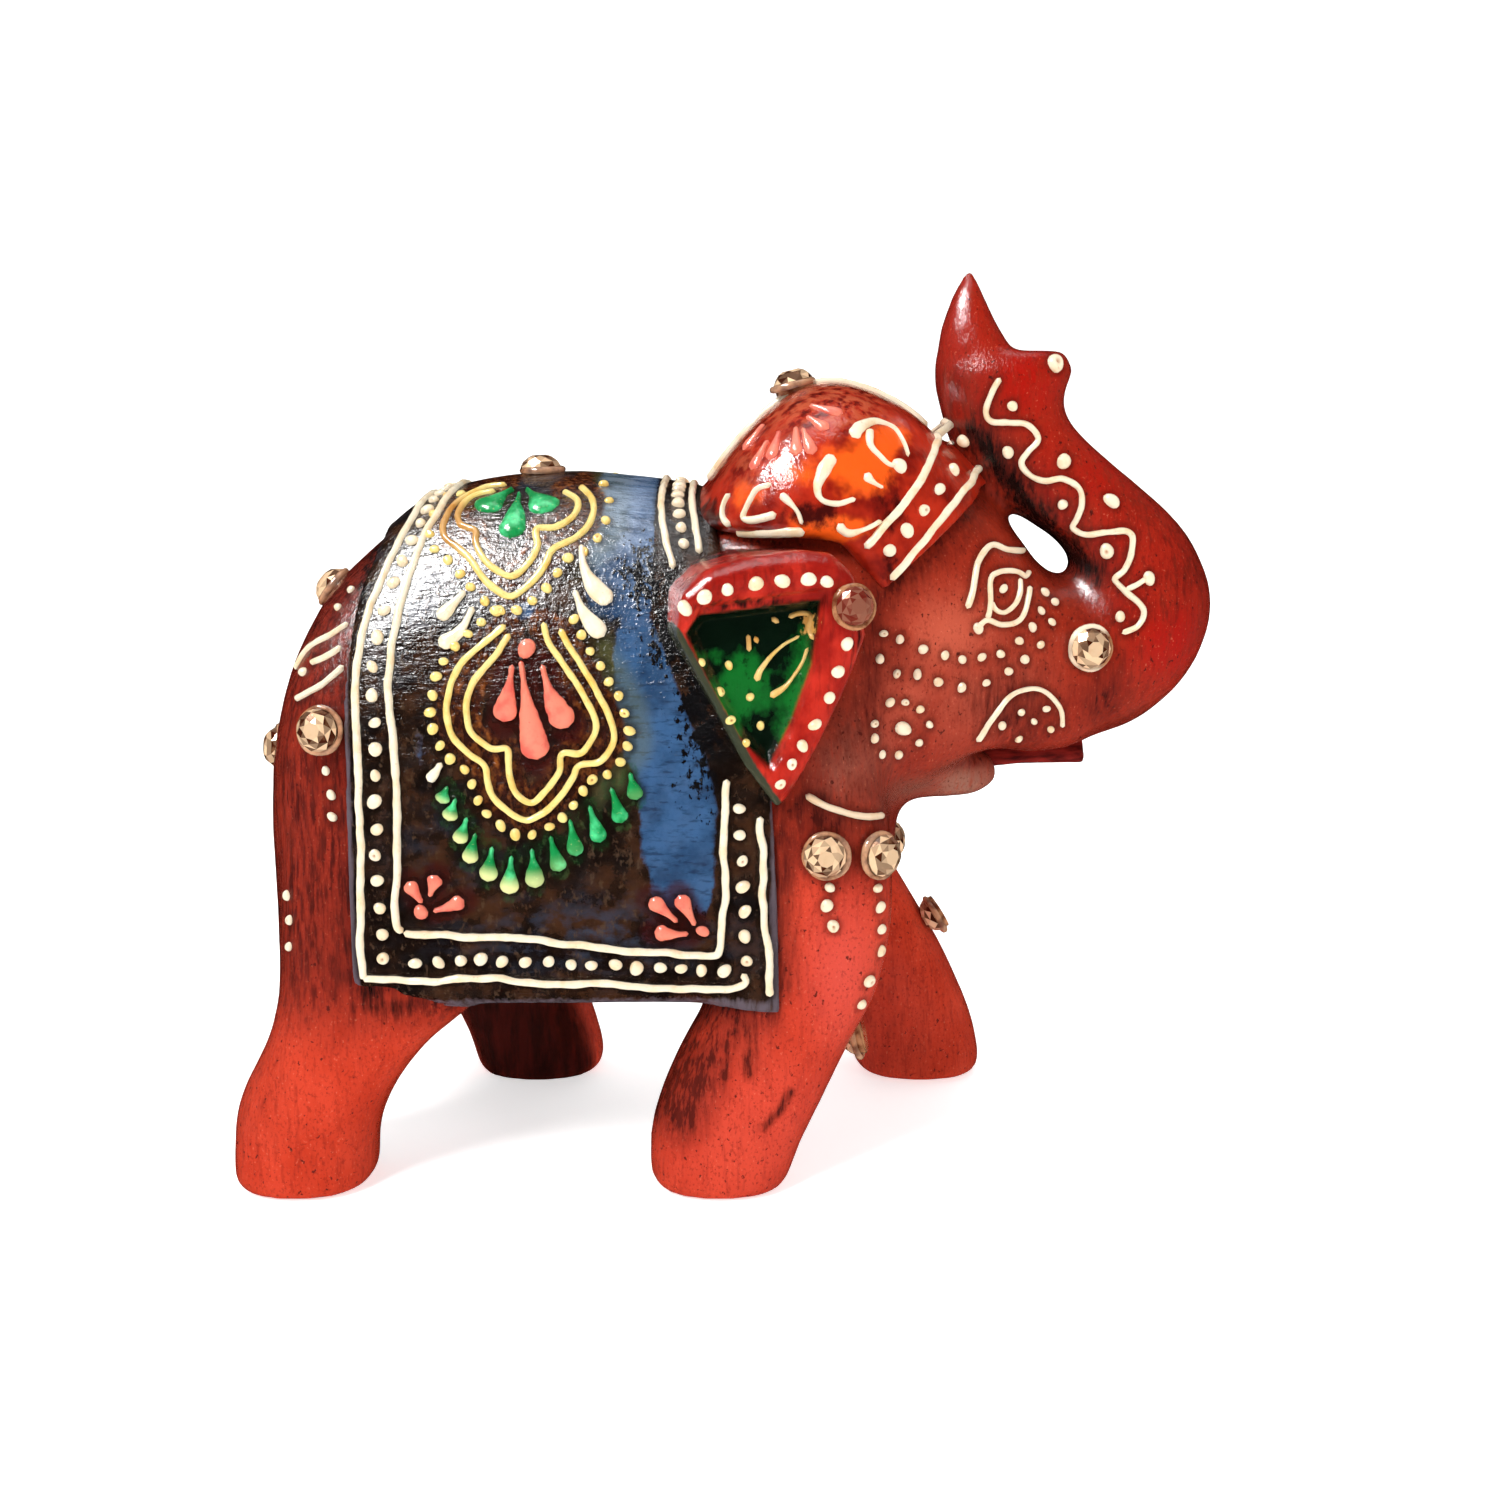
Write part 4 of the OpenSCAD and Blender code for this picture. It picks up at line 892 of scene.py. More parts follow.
def closed_over(points, end_x, end_z):
    """A band line that runs over the head to the other side."""
    half = side_line(on_head, points)
    a = half[-1][0]
    top = Vector((end_x, 0, end_z))
    for i in range(1, 41):
        t = i / 40
        q = a.lerp(top, t)
        q.z += 1.2 * math.sin(math.pi * t * 0.5)
        loc, nor, _, _ = on_head.find_nearest(q)
        half.append((loc, nor))
    half[-1] = (Vector((half[-1][0].x, 0, half[-1][0].z)), half[-1][1])
    return both_ways(half)


p.line(closed_over(BAND_INNER, 25.2, 84.0), 0.95, 0.5, mirror=False)
p.line(closed_over(BAND_OUTER, 29.6, 79.4), 0.9, 0.5, mirror=False)
p.finish("brow_band_lines", "cream_paste")
p = Paste(25, on_head, 0.12)
for x, z in spaced(BAND_MIDDLE, 2.6):
    p.dot(x, z, 1.5, 0.3)
p.bead(on_head.find_nearest(Vector((27.0, 0, 83)))[:2], 1.7, 0, mirror=False)
for y in (-3.2, 3.2):
    p.bead(on_head.find_nearest(Vector((26.6, y, 83)))[:2], 1.6, 0, mirror=False)
p.finish("brow_band_beads", "cream_paste")

# ---- ears
p = Paste(26, on_ear, 0.06)
for x, z in ((-4.2, 67.1), (-2.2, 68.2), (0.1, 68.9), (3.0, 69.4), (5.7, 69.6), (8.4, 69.7), (10.3, 69.4)):
    p.dot(x, z, 1.5, 0.1)
for x, z in ((12.5, 62.8), (11.6, 59.9), (10.7, 57.2), (9.2, 54.4), (7.9, 52.2), (6.8, 50.3), (5.6, 48.2)):
    p.dot(x, z, 1.32, 0.1)
p.finish("ear_rim_beads", "cream_paste")
p = Paste(27, on_ear)
for pts in ([(7.6, 63.5), (5.5, 62.3), (3.7, 60.4), (3.1, 58.9)],
            [(8.5, 62.3), (7.7, 60.4), (6.3, 58.4), (4.5, 57.2)]):
    p.stroke(pts, 0.66, 0.36, lambda t: 0.6 + 0.6 * float(ramp(0.5, 1, t)), tint=0.25)
for pts in ([(6.4, 65.4), (7.6, 65.8), (8.8, 65.5), (8.6, 64.2), (9.1, 63.2)], [(2.2, 63.8), (2.3, 62.0)],
            [(4.6, 65.4), (5.4, 64.8)], [(2.9, 63.6), (3.2, 62.8)]):
    p.stroke(pts, 0.58, 0.32, tint=0.5)
for x, z in ((-2.6, 61.3), (0.2, 60.7), (-0.7, 58.1), (2.4, 57.3), (0.4, 55.2), (3.5, 54.2), (2.0, 52.7)):
    p.dot(x, z, 1.0, 0.3)
p.finish("ear_leaves", "yellow_paste")

# ---- face and trunk
TRUNK_WAVE = [(30.3, 90.0), (29.4, 88.4), (28.8, 86.2), (29.5, 85.1), (31.3, 85.1), (33.4, 84.9),
              (34.7, 83.3), (33.6, 81.9), (33.0, 80.6), (34.0, 79.2), (35.8, 78.6), (37.7, 78.8),
              (39.4, 77.8), (39.9, 76.1), (39.3, 74.4), (39.0, 73.4), (40.4, 72.7), (42.5, 72.8),
              (44.6, 73.1), (45.6, 72.4), (45.5, 70.6), (44.8, 68.7), (43.7, 67.6), (45.2, 66.2),
              (47.1, 64.3), (46.4, 62.5), (44.6, 61.6)]
p = Paste(28, on_body, 0.16)
p.stroke(TRUNK_WAVE, 0.72, 0.42)
p.stroke([(45.0, 66.5), (46.2, 67.1), (47.3, 67.7)], 0.64, 0.38)
p.finish("trunk_waves", "cream_paste")
p = Paste(29, on_body, 0.16)
for x, z, d in ((31.7, 86.9, 1.2), (31.4, 81.8, 1.4), (37.7, 80.8, 1.7), (37.7, 76.0, 1.3), (43.2, 76.4, 1.6),
                (42.8, 70.8, 1.7), (36.6, 91.6, 2.2), (47.6, 67.8, 1.5), (44.4, 63.5, 1.2)):
    p.dot(x, z, d, 0.2)
p.finish("trunk_beads", "cream_paste")
p = Paste(30, on_body, 0.22)
for pts, w in (([(26.2, 65.2), (26.8, 66.9), (27.5, 70.1), (29.2, 71.8), (31.2, 71.2), (33.6, 70.8)], 0.72),
               ([(28.6, 63.9), (28.9, 65.7), (29.0, 68.2), (29.9, 68.9), (31.0, 69.0), (32.4, 68.7),
                 (33.3, 68.2), (34.0, 68.7)], 0.64), ([(27.5, 63.1), (28.6, 63.8), (30.3, 63.2), (32.1, 63.4),
                                                       (33.1, 64.5), (33.8, 67.2)], 0.66),
               ([(29.0, 65.9), (29.5, 64.9), (30.6, 64.5), (31.8, 65.2), (32.4, 66.3), (32.6, 68.1)], 0.6)):
    p.stroke(pts, w, 0.42, wobble=0.05)
p.dot(30.5, 67.1, 0.95, 0)
p.dot(27.5, 63.0, 1.4, 0)
p.finish("eye_outlines", "cream_paste")
p = Paste(31, on_body, 0.30)
for x, z in ((16.8, 63.0), (18.6, 62.3), (21.2, 61.1), (23.7, 60.3), (25.7, 59.7), (28.0, 59.8), (30.2, 60.0),
             (32.4, 61.3), (34.0, 62.7), (35.1, 64.4), (35.7, 66.3),
             (16.4, 60.3), (18.3, 58.6), (20.6, 58.4), (23.0, 57.4), (25.7, 56.6), (28.6, 56.9), (31.2, 58.0),
             (33.1, 59.2), (35.0, 60.7), (36.4, 63.1), (36.9, 65.2)):
    p.dot(x, z, 1.02, 0.2)
p.finish("face_beads", "cream_paste")
p = Paste(32, on_body, 0.22)
p.dot(19.1, 52.5, 1.9, 0)
for x, z in ((17.6, 55.5), (19.3, 55.4), (21.0, 54.5), (22.1, 52.7), (21.0, 50.7), (18.7, 49.5), (16.8, 49.8),
             (15.9, 51.7), (15.9, 53.3)):
    p.dot(x, z, 0.98, 0.1)
p.finish("cheek_rosettes", "cream_paste")
p = Paste(33, on_body, 0.25)
p.stroke([(27.8, 50.1), (29.3, 52.5), (31.2, 54.9), (33.0, 55.8), (34.7, 55.8), (36.3, 54.9), (37.6, 53.2),
          (38.0, 51.0)], 0.72, 0.4, lambda t: 1.15 - 0.35 * float(ramp(0, 0.5, t)))
for x, z in ((30.7, 51.8), (32.9, 53.2), (35.9, 53.4), (34.5, 52.0), (32.9, 49.9), (36.6, 50.9)):
    p.dot(x, z, 0.95, 0.1)
p.finish("mouth_arches", "cream_paste")

# ---- chest and rump
p = Paste(34, on_body, 0.25)
p.stroke([(8.3, 46.2), (10.3, 45.2), (12.9, 44.1), (15.0, 43.5), (17.0, 43.2)], 0.8, 0.42, tint=0.15)
p.finish("necklace_line", "cream_paste")
p = Paste(35, on_body, 0.20)
for x, z, d in ((11.0, 36.2, 1.1), (10.7, 34.2, 1.4), (11.4, 31.9, 1.3), (16.3, 35.6, 1.1), (16.6, 33.4, 1.2),
                (16.8, 30.8, 1.2), (16.8, 28.2, 1.2), (15.5, 25.0, 1.4), (14.7, 22.3, 1.2)):
    p.dot(x, z, d, 0.2)
p.finish("chest_beads", "cream_paste")
p = Paste(36, on_body, 0.14)
for pts in ([(-40.6, 64.2), (-43.0, 62.8), (-45.6, 61.2), (-47.3, 58.8)],
            [(-41.2, 61.9), (-43.0, 60.8), (-44.9, 59.8)], [(-40.8, 60.0), (-42.3, 58.7), (-43.9, 57.6),
                                                            (-46.6, 56.1)]):
    p.stroke(pts, 0.76, 0.4)
for x, z in ((-41.0, 67.4), (-42.3, 65.6), (-45.8, 58.9), (-42.9, 48.9), (-42.4, 46.3), (-42.4, 43.9),
             (-48.3, 34.5), (-48.0, 31.9), (-48.2, 28.9)):
    p.dot(x, z, 1.1, 0.2)
p.finish("rump_strokes", "cream_paste")


# ---------------------------------------------------------------- stones
def islands(node):
    """Middle, outward axis, and reach along it of every separate stone of a CAD node."""
    bm = bmesh.new()
    bm.from_mesh(nodes[node].data)
    bmesh.ops.remove_doubles(bm, verts=bm.verts, dist=WELD)
    left = set(bm.verts)
    out = []
    while left:
        stack, part = [left.pop()], []
        while stack:
            v = stack.pop()
            part.append(v.co / MM)
            for e in v.link_edges:
                w = e.other_vert(v)
                if w in left:
                    left.remove(w)
                    stack.append(w)
        pts = np.array([tuple(q) for q in part])
        mid = (pts.min(0) + pts.max(0)) / 2
        _, _, axes = np.linalg.svd(pts - pts.mean(0))
        axis = Vector(axes[2])
        home = Vector((mid[0] * 0.75, 0, 46 if mid[2] < 80 else 60))
        if axis.dot(Vector(mid) - home) < 0:
            axis = -axis
        along = (pts - mid) @ np.array(axis)
        out.append((Vector(mid), axis, along.min(), along.max()))
    bm.free()
    return sorted(out, key=lambda s: (round(s[0].x, 1), round(s[0].y, 1)))


def cut_stone(verts, faces, shade, middle, axis, base, radius, height, rng):
    """A round flat-backed stone with a table, eight main facets, eight upper kites and a girdle."""
    u = axis.orthogonal().normalized()
    turn = rng.uniform(0, math.tau)
    u = u * math.cos(turn) + axis.cross(u) * math.sin(turn)
    v = axis.cross(u)

    def ring(r, h, count, phase):
        start = len(verts)
        for k in range(count):
            a = math.tau * (k + phase) / count
            verts.append(middle + u * (r * math.cos(a)) + v * (r * math.sin(a)) + axis * (base + h))
        return start

    low = ring(radius, -0.2, 16, 0)
    girdle = ring(radius, 0.3 * height, 16, 0)
    waist = ring(radius * 0.86, 0.62 * height, 8, 0.5)
    crown = ring(radius * 0.64, 0.87 * height, 8, 0)
    table = ring(radius * 0.4, height, 8, 0.5)
    # Each facet gets a brightness that stands in for its reflection, a painted glint or a dark facet; the
    # table is painted bright, the flat back dark.
    for k in range(16):
        q = (k + 1) % 16
        faces.append((low + k, low + q, girdle + q, girdle + k))
        shade.append(rng.uniform(0.0, 0.5))
    for k in range(8):
        q = (k + 1) % 8
        a, b, c = girdle + 2 * k, girdle + 2 * k + 1, girdle + (2 * k + 2) % 16
        faces += [(a, b, waist + k), (b, c, waist + k), (c, waist + q, waist + k),
                  (waist + k, waist + q, crown + q), (crown + k, waist + k, crown + q),
                  (crown + k, crown + q, table + k), (table + k, crown + q, table + q)]
        shade += [rng.choice((0.0, 0.1, 0.3, 0.6, 0.95, 1.0)) for _ in range(7)]
    faces.append(tuple(table + k for k in range(8)))
    shade.append(0.8)
    faces.append(tuple(low + k for k in reversed(range(16))))
    shade.append(0.2)


def glue_ring(paste, middle, axis, base, radius, rng, ivory):
    """Uneven collar of glue that a stone is pressed into."""
    u = axis.orthogonal().normalized()
    v = axis.cross(u)
    m, n = 28, 8  # steps round the stone, and round the section of the collar
    phase = rng.uniform(0, 6)
    slip = u * rng.uniform(-0.2, 0.2) + v * rng.uniform(-0.2, 0.2)
    first = len(paste.verts)
    for i in range(m):
        a = math.tau * i / m
        out = u * math.cos(a) + v * math.sin(a)
        lump = 0.5 * math.sin(a + phase) + 0.3 * math.sin(2 * a + 2 * phase) + 0.2 * math.sin(5 * a + phase)
        thick = 0.3 + 0.16 * lump
        for k in range(n):
            b = math.tau * k / n
            paste.verts.append(middle + slip + out * (radius + 0.12 + thick * math.cos(b))
                               + axis * (base + 0.1 + (thick * 0.8 + 0.12) * math.sin(b)))
            paste.tint.append(ivory * max(0.0, min(1.0, 0.5 + lump)))
    paste.join(first, m, n, closed=True)
    rim = len(paste.verts)
    for level in (-0.75, -0.05):
        for i in range(m):
            a = math.tau * i / m
            paste.verts.append(middle + (u * math.cos(a) + v * math.sin(a)) * (radius * 0.98)
                               + axis * (base + level))
            paste.tint.append(0.0)
    for i in range(m):
        j = (i + 1) % m
        paste.faces.append((rim + i, rim + j, rim + m + j, rim + m + i))
    paste.faces.append(tuple(rim + i for i in reversed(range(m))))
    paste.faces.append(tuple(rim + m + i for i in range(m)))


glue = Paste(40, on_body)
STONE_NODES = ["cap_stone", "back_stone", "rump_top_stone", "rump_centre_stones", "rump_side_stones",
               "right_ear_stone", "left_ear_stone", "right_cheek_stone", "left_cheek_stone",
               "chest_centre_stone", "chest_inner_stones", "chest_outer_stones", "foreleg_stones"]
for number, node in enumerate(STONE_NODES):
    rng = random.Random(100 + number)
    on_an_ear = "ear" in node
    radius = 2.05 if on_an_ear else 2.3
    ivory = 1.0 if "cheek" in node else 0.0 if on_an_ear else 0.15
    verts, faces, shade = [], [], []
    for middle, axis, low, high in islands(node):
        cut_stone(verts, faces, shade, middle, axis, low, radius, high - low, rng)
        glue_ring(glue, middle, axis, low, radius, rng, ivory)
    ob = new_object("faceted_" + node, [q * MM for q in verts], faces, smooth=False)
    face_outwards(ob.data)
    # painted reflections of the facets, one brightness a face
    layer = ob.data.attributes.new("facet", "FLOAT", "FACE")
    layer.data.foreach_set("value", np.array(shade, dtype=np.float32))
    set_masks(ob.data, blush=np.full(len(ob.data.vertices), float(on_an_ear)))
    dress(ob, STONE, node)
glue.finish("stone_beds", "glue_paste", "glue_under_stones")


# ---------------------------------------------------------------- painted areas
paste_points = KDTree(len(piped))
for number, place in enumerate(piped):
    paste_points.insert(place, number)
paste_points.balance()


def pooled(me):
    """How much lacquer has settled against the piped lines, with the painted shade the raised lines cast
    beside them; 1 right beside them.
    """
    return ramp(0.75, 0.2, np.array([paste_points.find(p)[2] for p in points_of(me)]))


def paint_body(me):
    x, y, z = points_of(me).T
    spot, along = partial(blob, x, z), partial(along_path, x, z)
    a = abs(y)
    right = y < 0
    rear = x < -18
    middle = np.where(right, np.where(rear, -48.6 + 0.30 * z, -1.0 + 0.32 * z),
                      np.where(rear, -25.6 - 0.40 * z, 24.8 - 0.34 * z))
    legs = ramp(24, 16, z)
    # Painted shade on the legs' inner sides, between the legs; it feeds the shade, the near-black and the far
    # rear leg below.
    inner = ramp(14.5, 11.0, a) * ramp(26, 20, z)
    coral = np.where(rear, ramp(31, 13, z), most(ramp(24, 17, z), ramp(4, 8, x) * ramp(42, 34, z)))
    coral *= np.clip(ramp(30, 22, x) + ramp(38, 30, z), 0, 1)
    rose = most(0.9 * spot(12.5, 27, 4.5, 9), np.where(right, 0.35, 0.7) * spot(4, 8, 14, 12))
    rose *= (z < 42) * (x > -12)
    hem_rear = ramp(17.5, 22.5, z) * ramp(30, 24, z) * ramp(-44.5, -41.0, x) * (x < -20) * 0.4
    hem_front = ramp(12.5, 21.5, z) * ramp(30, 24, z) * ramp(6.5, 1.5, x) * (x > -20) * 0.8
    behind = ramp(-45.0, -41.2, x) * ramp(-38, -40, x) * ramp(20, 27, z) * 0.66
    rump = ramp(-37, -41, x) * most(ramp(30, 44, z) * 0.5 + ramp(60, 72, z) * 0.25, ramp(14, 27, z) * 0.5)
    back_edge = legs * ramp(-1.8, -6.4, x - middle) * ramp(4.5, 9, z) * np.where(rear, 0.2, 0.85)
    strokes = nearest_path(x, z, (((-2.6, 18.0), (-3.4, 13.5)), ((-4.4, 15.5), (-5.4, 9.5)),
                                  ((0.0, 18.5), (-0.5, 14.6)), ((2.3, 17.6), (2.2, 15.0)),
                                  ((6.8, 12.8), (5.9, 11.0)), ((5.6, 10.6), (4.0, 8.8)),
                                  ((-5.8, 13), (-6.0, 8))))
    drips = ramp(0.9, 0.1, strokes) * ramp(15, 18, a) * right * 0.9
    # Painted shade, darker where shade falls: under the head at the throat, in the crease between the front
    # legs, along the band's raised edge, beside the ear, on the trunk's side in the gap, under the cheek, in
    # the mouth's slit, low on the head behind the jaw and under the belly.
    throat = spot(10.5, 44.0, 5.5, 3.6) * 0.8
    chest = spot(14.5, 39.0, 6, 3.4) * 0.66
    front_crease = ramp(12, 8, a) * ramp(12, 15, x) * ramp(44, 38, z) * ramp(30, 24, x) * 0.35
    cloth_side = ramp(9.2, 5.8, x) * ramp(22, 26, z) * ramp(47, 42, z) * (x > 2) * 0.6
    under_band = along([(15.5, 66), (22, 72.0), (29.5, 78.4)], 3.8) * 0.85
    behind_ear = spot(15.6, 60, 1.8, 9) * 0.75 + spot(12.5, 52, 2.5, 5) * 0.5
    gap_side = along([(27.5, 84), (33.0, 77.0), (38.5, 70.8), (41.5, 68.6)], 4.6)
    left_tip = along([(25.2, 89), (24.8, 84), (27.5, 80)], 3.6) * 0.6
    bend = most(spot(53, 71.0, 3.6, 7.5), 0.6 * spot(47.5, 76, 3.5, 3.5)) * 0.55
    root = spot(41.2, 66.5, 3.5, 2.2) * 0.5
    under_cheek = most(spot(42.6, 54.4, 3.6, 3.4), spot(47.5, 50.5, 6, 2.2) * 0.8) * 0.7
    mouth = spot(33.6, 50.8, 3.8, 3.6) * 0.62
    half_moon = spot(31.8, 54.0, 6.4, 4.4) * 0.8
    slit = spot(30, 46.8, 6, 0.9) * 0.9
    jaw_side = spot(14.5, 46.5, 5, 4) * 0.45
    belly = ramp(23.5, 21.9, z) * ramp(18.5, 20.5, z) * ramp(-44, -38, x) * ramp(4, -2, x)
    belly *= ramp(17, 13, a) * 0.8
    shade_front = np.where(right, 0.6, 0.1 + 0.5 * ramp(3, -6, x - middle) * ramp(8, 16, z))
    shade = inner * np.where(rear, 0.85, shade_front)
    # The dark mask darkens the hems, behind the cloth, the rump, the legs' back edges, the drips, the chest,
    # beside the cloth, parts of the trunk and round the mouth, and it carries all the painted shade above.
    dark = most(hem_rear, hem_front, behind, rump, back_edge, drips, throat, chest, front_crease, cloth_side,
                under_band, behind_ear, gap_side * 0.95, left_tip, bend, root, under_cheek, mouth, half_moon,
                slit, jaw_side, belly, shade)
    # Near-black: a strip just under the cloth's hem and at its rear corner, and painted shade on the legs'
    # inner sides, deep in the trunk's gap, under the belly, at the throat and under the cheek.
    black = most(ramp(20.0, 23, z) * ramp(25, 23, z) * ramp(5.0, 2, x) * ramp(-42.5, -40, x) * 0.5,
                 inner * np.where(rear & ~right, 0.2, 0.1), gap_side ** 2 * 0.8,
                 ramp(-40.9, -39.6, x) * ramp(-36, -38, x) * ramp(21, 25, z) * 0.6, belly,
                 spot(10.0, 45.5, 3.5, 2.2) * 0.5, spot(42.5, 53.5, 2.0, 2.0) * 0.4)
    # Painted shade: the far rear leg's inner side is covered in near-black.
    gloom = inner * (rear & ~right) * 0.94
    grey = most(spot(27.0, 44.2, 4.5, 2.8), 0.6 * spot(21, 44.5, 5, 2.0)) * ramp(60, 40, z)
    grey = most(grey, 0.45 * spot(13, 49, 4, 5))
    pale = most(0.85 * spot(24.0, 62.5, 6, 4.6), 0.6 * spot(26.5, 55, 6, 5), 0.65 * spot(20, 56, 4.5, 6),
                0.4 * spot(33, 57, 4, 4))
    before_face = ramp(-3, 3, 0.62 * (x - 38) + 0.5 * (z - 70)) * ramp(30, 36, x)
    on_trunk = most(ramp(83, 86, z), before_face * ramp(50, 54, z))
    vivid = most(spot(33.5, 90, 5, 6), 0.75 * spot(42, 79, 6, 6), spot(50.5, 61, 5.5, 6),
                 0.6 * spot(46, 65, 5, 5), 0.5 * on_trunk) * ramp(50, 54, z)
    grain = np.clip(ramp(10, 2, x) + 0.55 * spot(50, 66, 8, 10) + 0.12 + 0.35 * ramp(40, 34, z), 0, 1)
    set_masks(me, coral=coral, rose=rose, dark=dark, black=black, grey=grey, pale=pale, vivid=vivid,
              grain=grain, gloom=gloom, pool=pooled(me))


def paint_cloth(me):
    x, _, z = points_of(me).T
    spot = partial(blob, x, z)
    lower = nearest_path(x, z, (LOWER_OUTER, LOWER_INNER))
    upper = nearest_path(x, z, (UPPER_OUTER, UPPER_INNER))
    halo = most(ramp(2.1, 0.7, lower) * 0.95, ramp(1.9, 0.7, upper) * 0.9)
    fringe = nearest_path(x, z, [(a, b) for a, b, _ in FRINGE])
    green = ramp(1.7, 0.9, fringe) * 0.42
    petals = nearest_path(x, z, LOWER_PETALS)
    sprigs = nearest_path(x, z, CORNER_SPRIGS)
    wine = most(ramp(2.2, 1.3, petals) * 0.8, ramp(1.9, 1.1, sprigs) * 0.7)
    left = -10.4 - 2.6 * ramp(46, 55, z) + 1.2 * ramp(42, 36, z)
    front = np.interp(z, [36, 46, 51, 58, 65, 72], [-1.4, -0.8, -2.0, -5.0, -7.2, -7.4])
    patch = ramp(-0.2, 2.6, x - left) * ramp(1.0, -1.6, x - front)
    blue = most(patch * ramp(31.5, 36.0, z) * ramp(69, 62, z),
                ramp(-16, -13.5, x) * ramp(-7.4, -8.4, x) * ramp(62, 68, z),
                0.75 * spot(-21.5, 66.0, 1.8, 1.2), 0.4 * spot(-32.2, 51.5, 1.5, 6))
    dabs = most(spot(-2.5, 56, 3.0, 10) * 0.75, spot(-8.5, 69.5, 3.4, 4.2) * 0.7,
                spot(-5.5, 64, 3.5, 5) * 0.8, spot(-4, 33, 3, 2) * 0.4)
    olive = most(ramp(5.0, 3.2, lower) * ramp(-15, -13, x), ramp(5.0, 3.0, upper) * ramp(-17, -14, x)) * 0.6
    edge = most(ramp(-39.6, -40.4, x) * 0.9, ramp(4.3, 5.0, x) * 0.9)
    edge = most(edge, ramp(24.2, 23.2, z) * 0.6)
    top = ramp(77.6, 79, z)
    # Painted sheen: a blue-grey painted reflection low on the cloth, towards its rear and along its top.
    steel = most(0.8 * spot(-14, 31.0, 13, 4), 0.5 * spot(-34, 68, 4, 8), 0.3 * spot(-30, 40, 6, 6),
                 0.5 * spot(-22, 80, 12, 3))
    # Painted highlight: a pale blue sheen high on the front of the cloth.
    sheen = most(spot(-12, 76, 4, 4.5), 0.4 * spot(-8, 70, 3, 4))
    set_masks(me, halo=halo, green=green, wine=wine, blue=blue * (1 - 0.3 * top), dabs=dabs, olive=olive,
              edge=edge, steel=steel, sheen=sheen, pool=pooled(me))


def paint_cap(me):
    x, _, z = points_of(me).T
    spot = partial(blob, x, z)
    orange = most(spot(14.5, 80.5, 4.5, 4), spot(11, 74.5, 5, 1.6), spot(17.5, 83.5, 2.5, 2),
                  0.7 * spot(2.5, 78, 2.4, 2.5), 0.6 * spot(8, 80.5, 3, 2))
    # Pink paint on the dome's top that also stands in for its sheen, a painted highlight, with a pink patch
    # at the back.
    pink = most(0.85 * ramp(82.5, 87, z) * ramp(20, 14, x), 0.6 * spot(3, 81.5, 4, 3.5))
    dark = most(spot(9, 76, 3.4, 1.8) * 0.8, spot(17.5, 76.5, 2.4, 3.5) * 0.6,
                ramp(1.6, -2, x) * ramp(79, 75, z) * 0.8, spot(18, 69.5, 2.4, 2.2) * 0.7)
    set_masks(me, orange=orange, pink=pink, dark=dark)


def paint_ear(me):
    x, y, z = points_of(me).T
    spot = partial(blob, x, z)
    hollow = ramp(0.0, 0.35, in_hollow(x, z))
    leaf = most(spot(1.2, 57.4, 3.4, 4.6), spot(7.4, 56, 2.6, 7) * 0.95, spot(-1.5, 61.5, 2, 1.5) * 0.7,
                spot(10, 64, 1.5, 2) * 0.5)
    rear = path_distance(x, z, [(-5.6, 64), (-1.2, 55.6), (1.8, 50.0), (4.6, 45.6)])
    olive = ramp(1.5, 0.9, rear)
    amber = spot(8.6, 64.6, 1.1, 1.3) * 0.8
    # Painted shade: under the top rim's overhang, along the front edge where the ear meets the head, and over
    # the ear's face that turns towards the head.
    dark = most(spot(3, 67.2, 8, 0.9) * 0.6, spot(13.6, 63, 1.2, 3.5) * 0.5, (abs(y) < 21) * 0.7)
    set_masks(me, hollow=hollow, leaf=leaf, olive=olive, amber=amber, dark=dark)



paint_body(body)
paint_cloth(cloth)
paint_cap(cap)
for node in ("right_ear", "left_ear"):
    paint_ear(woods[node].data)
EAR = ear_material()
for node, material, slot in (("carved_body", body_material(), "body_paint"),
                             ("saddle_cloth", cloth_material(), "cloth_paint"),
                             ("head_cap", cap_material(), "cap_paint"),
                             ("right_ear", EAR, "ear_paint"), ("left_ear", EAR, "ear_paint"),
                             ("tongue", tongue_material(), "tongue_paint")):
    dress(woods[node], material, node)


# ---------------------------------------------------------------- stage, lights, camera
def plain(name, glow):
    """Nearly even, glowing off-white."""
    g = Graph(name)
    soft = g.noise(60, (1, 1, 1), 2)
    tone = g.mix(g.step(soft, 0.2, 0.8), (250, 250, 250), (248, 248, 248))
    g.shader.inputs["Emission Color"].default_value = (1, 1, 1, 1)
    g.shader.inputs["Emission Strength"].default_value = glow
    return g.finish(tone, 0.8, 0.0, 0.1)


def sweep():
    """Pale floor that curves up into a backdrop."""
    half, depth, rise, bend = 2.2, 1.6, 2.0, 0.6
    line = [(-2.6, 0.0), (depth - bend, 0.0)]
    for i in range(1, 13):
        a = math.pi / 2 * i / 12
        line.append((depth - bend + bend * math.sin(a), bend - bend * math.cos(a)))
    line.append((depth, rise))
    verts = [(sx, yy, zz - 0.0002) for yy, zz in line for sx in (-half, half)]
    faces = [(2 * i, 2 * i + 1, 2 * i + 3, 2 * i + 2) for i in range(len(line) - 1)]
    ob = new_object("pale_floor_and_backdrop", verts, faces)
    ob.data.materials.append(plain("pale_floor", 0.62))
    ob.visible_glossy = False


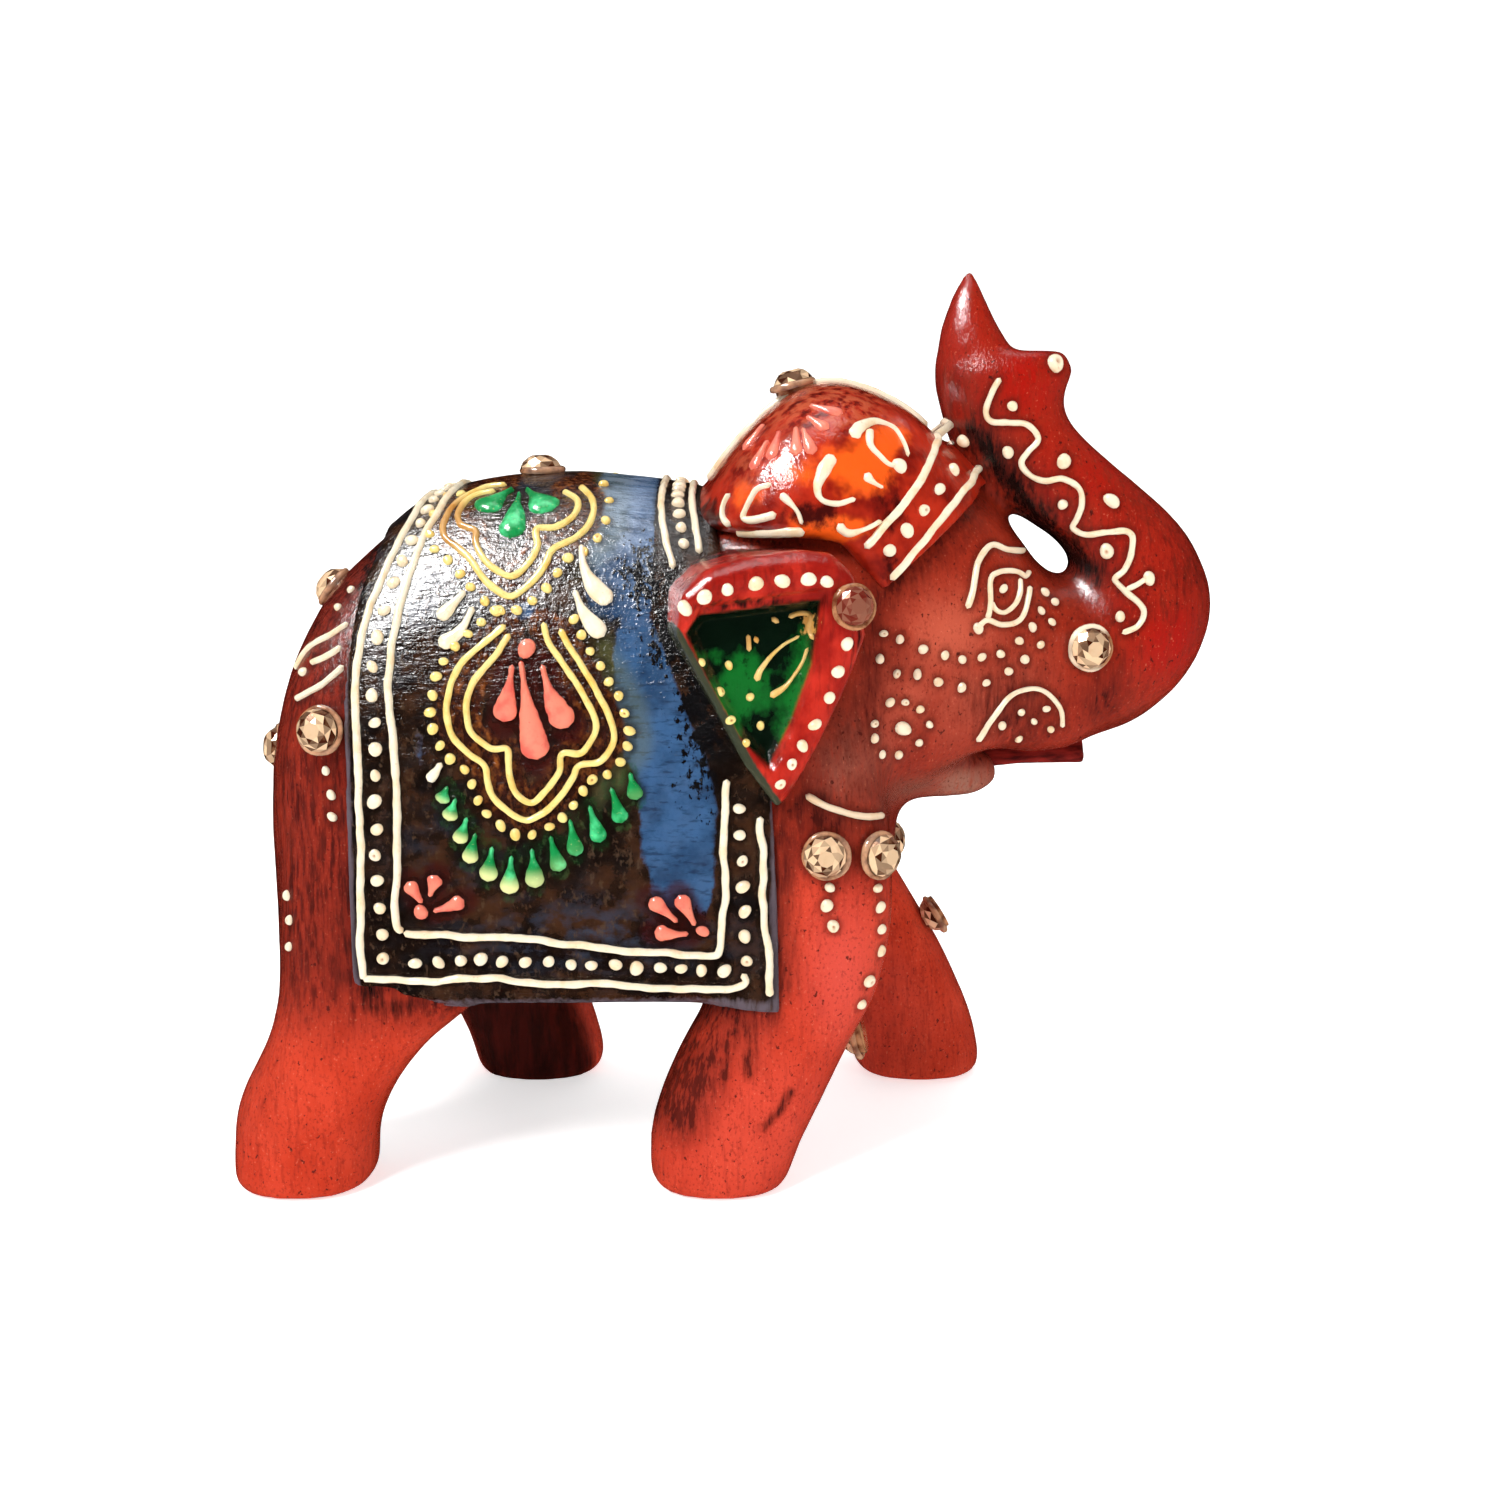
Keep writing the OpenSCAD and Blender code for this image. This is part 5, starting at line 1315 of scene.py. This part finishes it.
def far_wall():
    """Pale wall all round, seen only by the camera, so that every view has a plain background."""
    count, radius, low, high = 48, 3.4, -0.6, 4.0
    verts = [(radius * math.cos(math.tau * i / count), radius * math.sin(math.tau * i / count), level)
             for level in (low, high) for i in range(count)]
    faces = [(i, (i + 1) % count, count + (i + 1) % count, count + i) for i in range(count)]
    ob = new_object("far_pale_wall", verts, faces)
    ob.data.materials.append(plain("pale_wall", 0.9))
    ob.visible_diffuse = False
    ob.visible_glossy = False
    ob.visible_shadow = False


def softbox(name, location, target, width, height, watts, diffuse=True, glossy=True):
    data = bpy.data.lights.new(name, "AREA")
    data.shape = "RECTANGLE"
    data.size, data.size_y = width, height
    data.energy = watts
    ob = link(bpy.data.objects.new(name, data))
    ob.location = location
    ob.rotation_euler = (Vector(target) - Vector(location)).to_track_quat("-Z", "Y").to_euler()
    ob.visible_diffuse = diffuse
    ob.visible_glossy = glossy


sweep()
far_wall()
MIDDLE = (0.0, 0.0, 0.05)
softbox("key_softbox", (-0.40, -0.52, 0.62), MIDDLE, 0.21, 0.21, 5.0)
softbox("top_softbox", (0.05, 0.05, 0.95), MIDDLE, 0.45, 0.45, 2.0)
softbox("fill_softbox", (0.70, -0.55, 0.35), MIDDLE, 0.2, 0.3, 1.5, glossy=False)
softbox("back_softbox", (0.0, 1.0, 0.7), MIDDLE, 1.2, 0.6, 2.0, glossy=False)
softbox("window_glare", (-0.34, -0.17, 0.58), (-0.03, -0.02, 0.067), 0.26, 0.18, 15.0, diffuse=False)

world = bpy.data.worlds.new("pale_studio")
world.use_nodes = True
sky = world.node_tree
way = sky.nodes.new("ShaderNodeTexCoord")
split = sky.nodes.new("ShaderNodeSeparateXYZ")
fade = sky.nodes.new("ShaderNodeMapRange")
fade.interpolation_type = "SMOOTHSTEP"
for key, value in (("From Min", -0.5), ("From Max", 0.35), ("To Min", 0.16), ("To Max", 0.85)):
    fade.inputs[key].default_value = value
sky.links.new(way.outputs["Generated"], split.inputs[0])
sky.links.new(split.outputs["Y"], fade.inputs["Value"])
sky.links.new(fade.outputs["Result"], sky.nodes["Background"].inputs["Strength"])
sky.nodes["Background"].inputs["Color"].default_value = (1, 1, 1, 1)
scene = bpy.context.scene
scene.world = world
world.cycles_visibility.glossy = False
scene.view_settings.view_transform = "Standard"

camera = link(bpy.data.objects.new("camera", bpy.data.cameras.new("camera")))
camera.data.sensor_width = 36.0
camera.data.lens = 41.0
camera.data.clip_start = 0.01
camera.location = (0.0024, -0.200, 0.089)
camera.rotation_euler = (math.radians(78), 0, 0)
scene.camera = camera
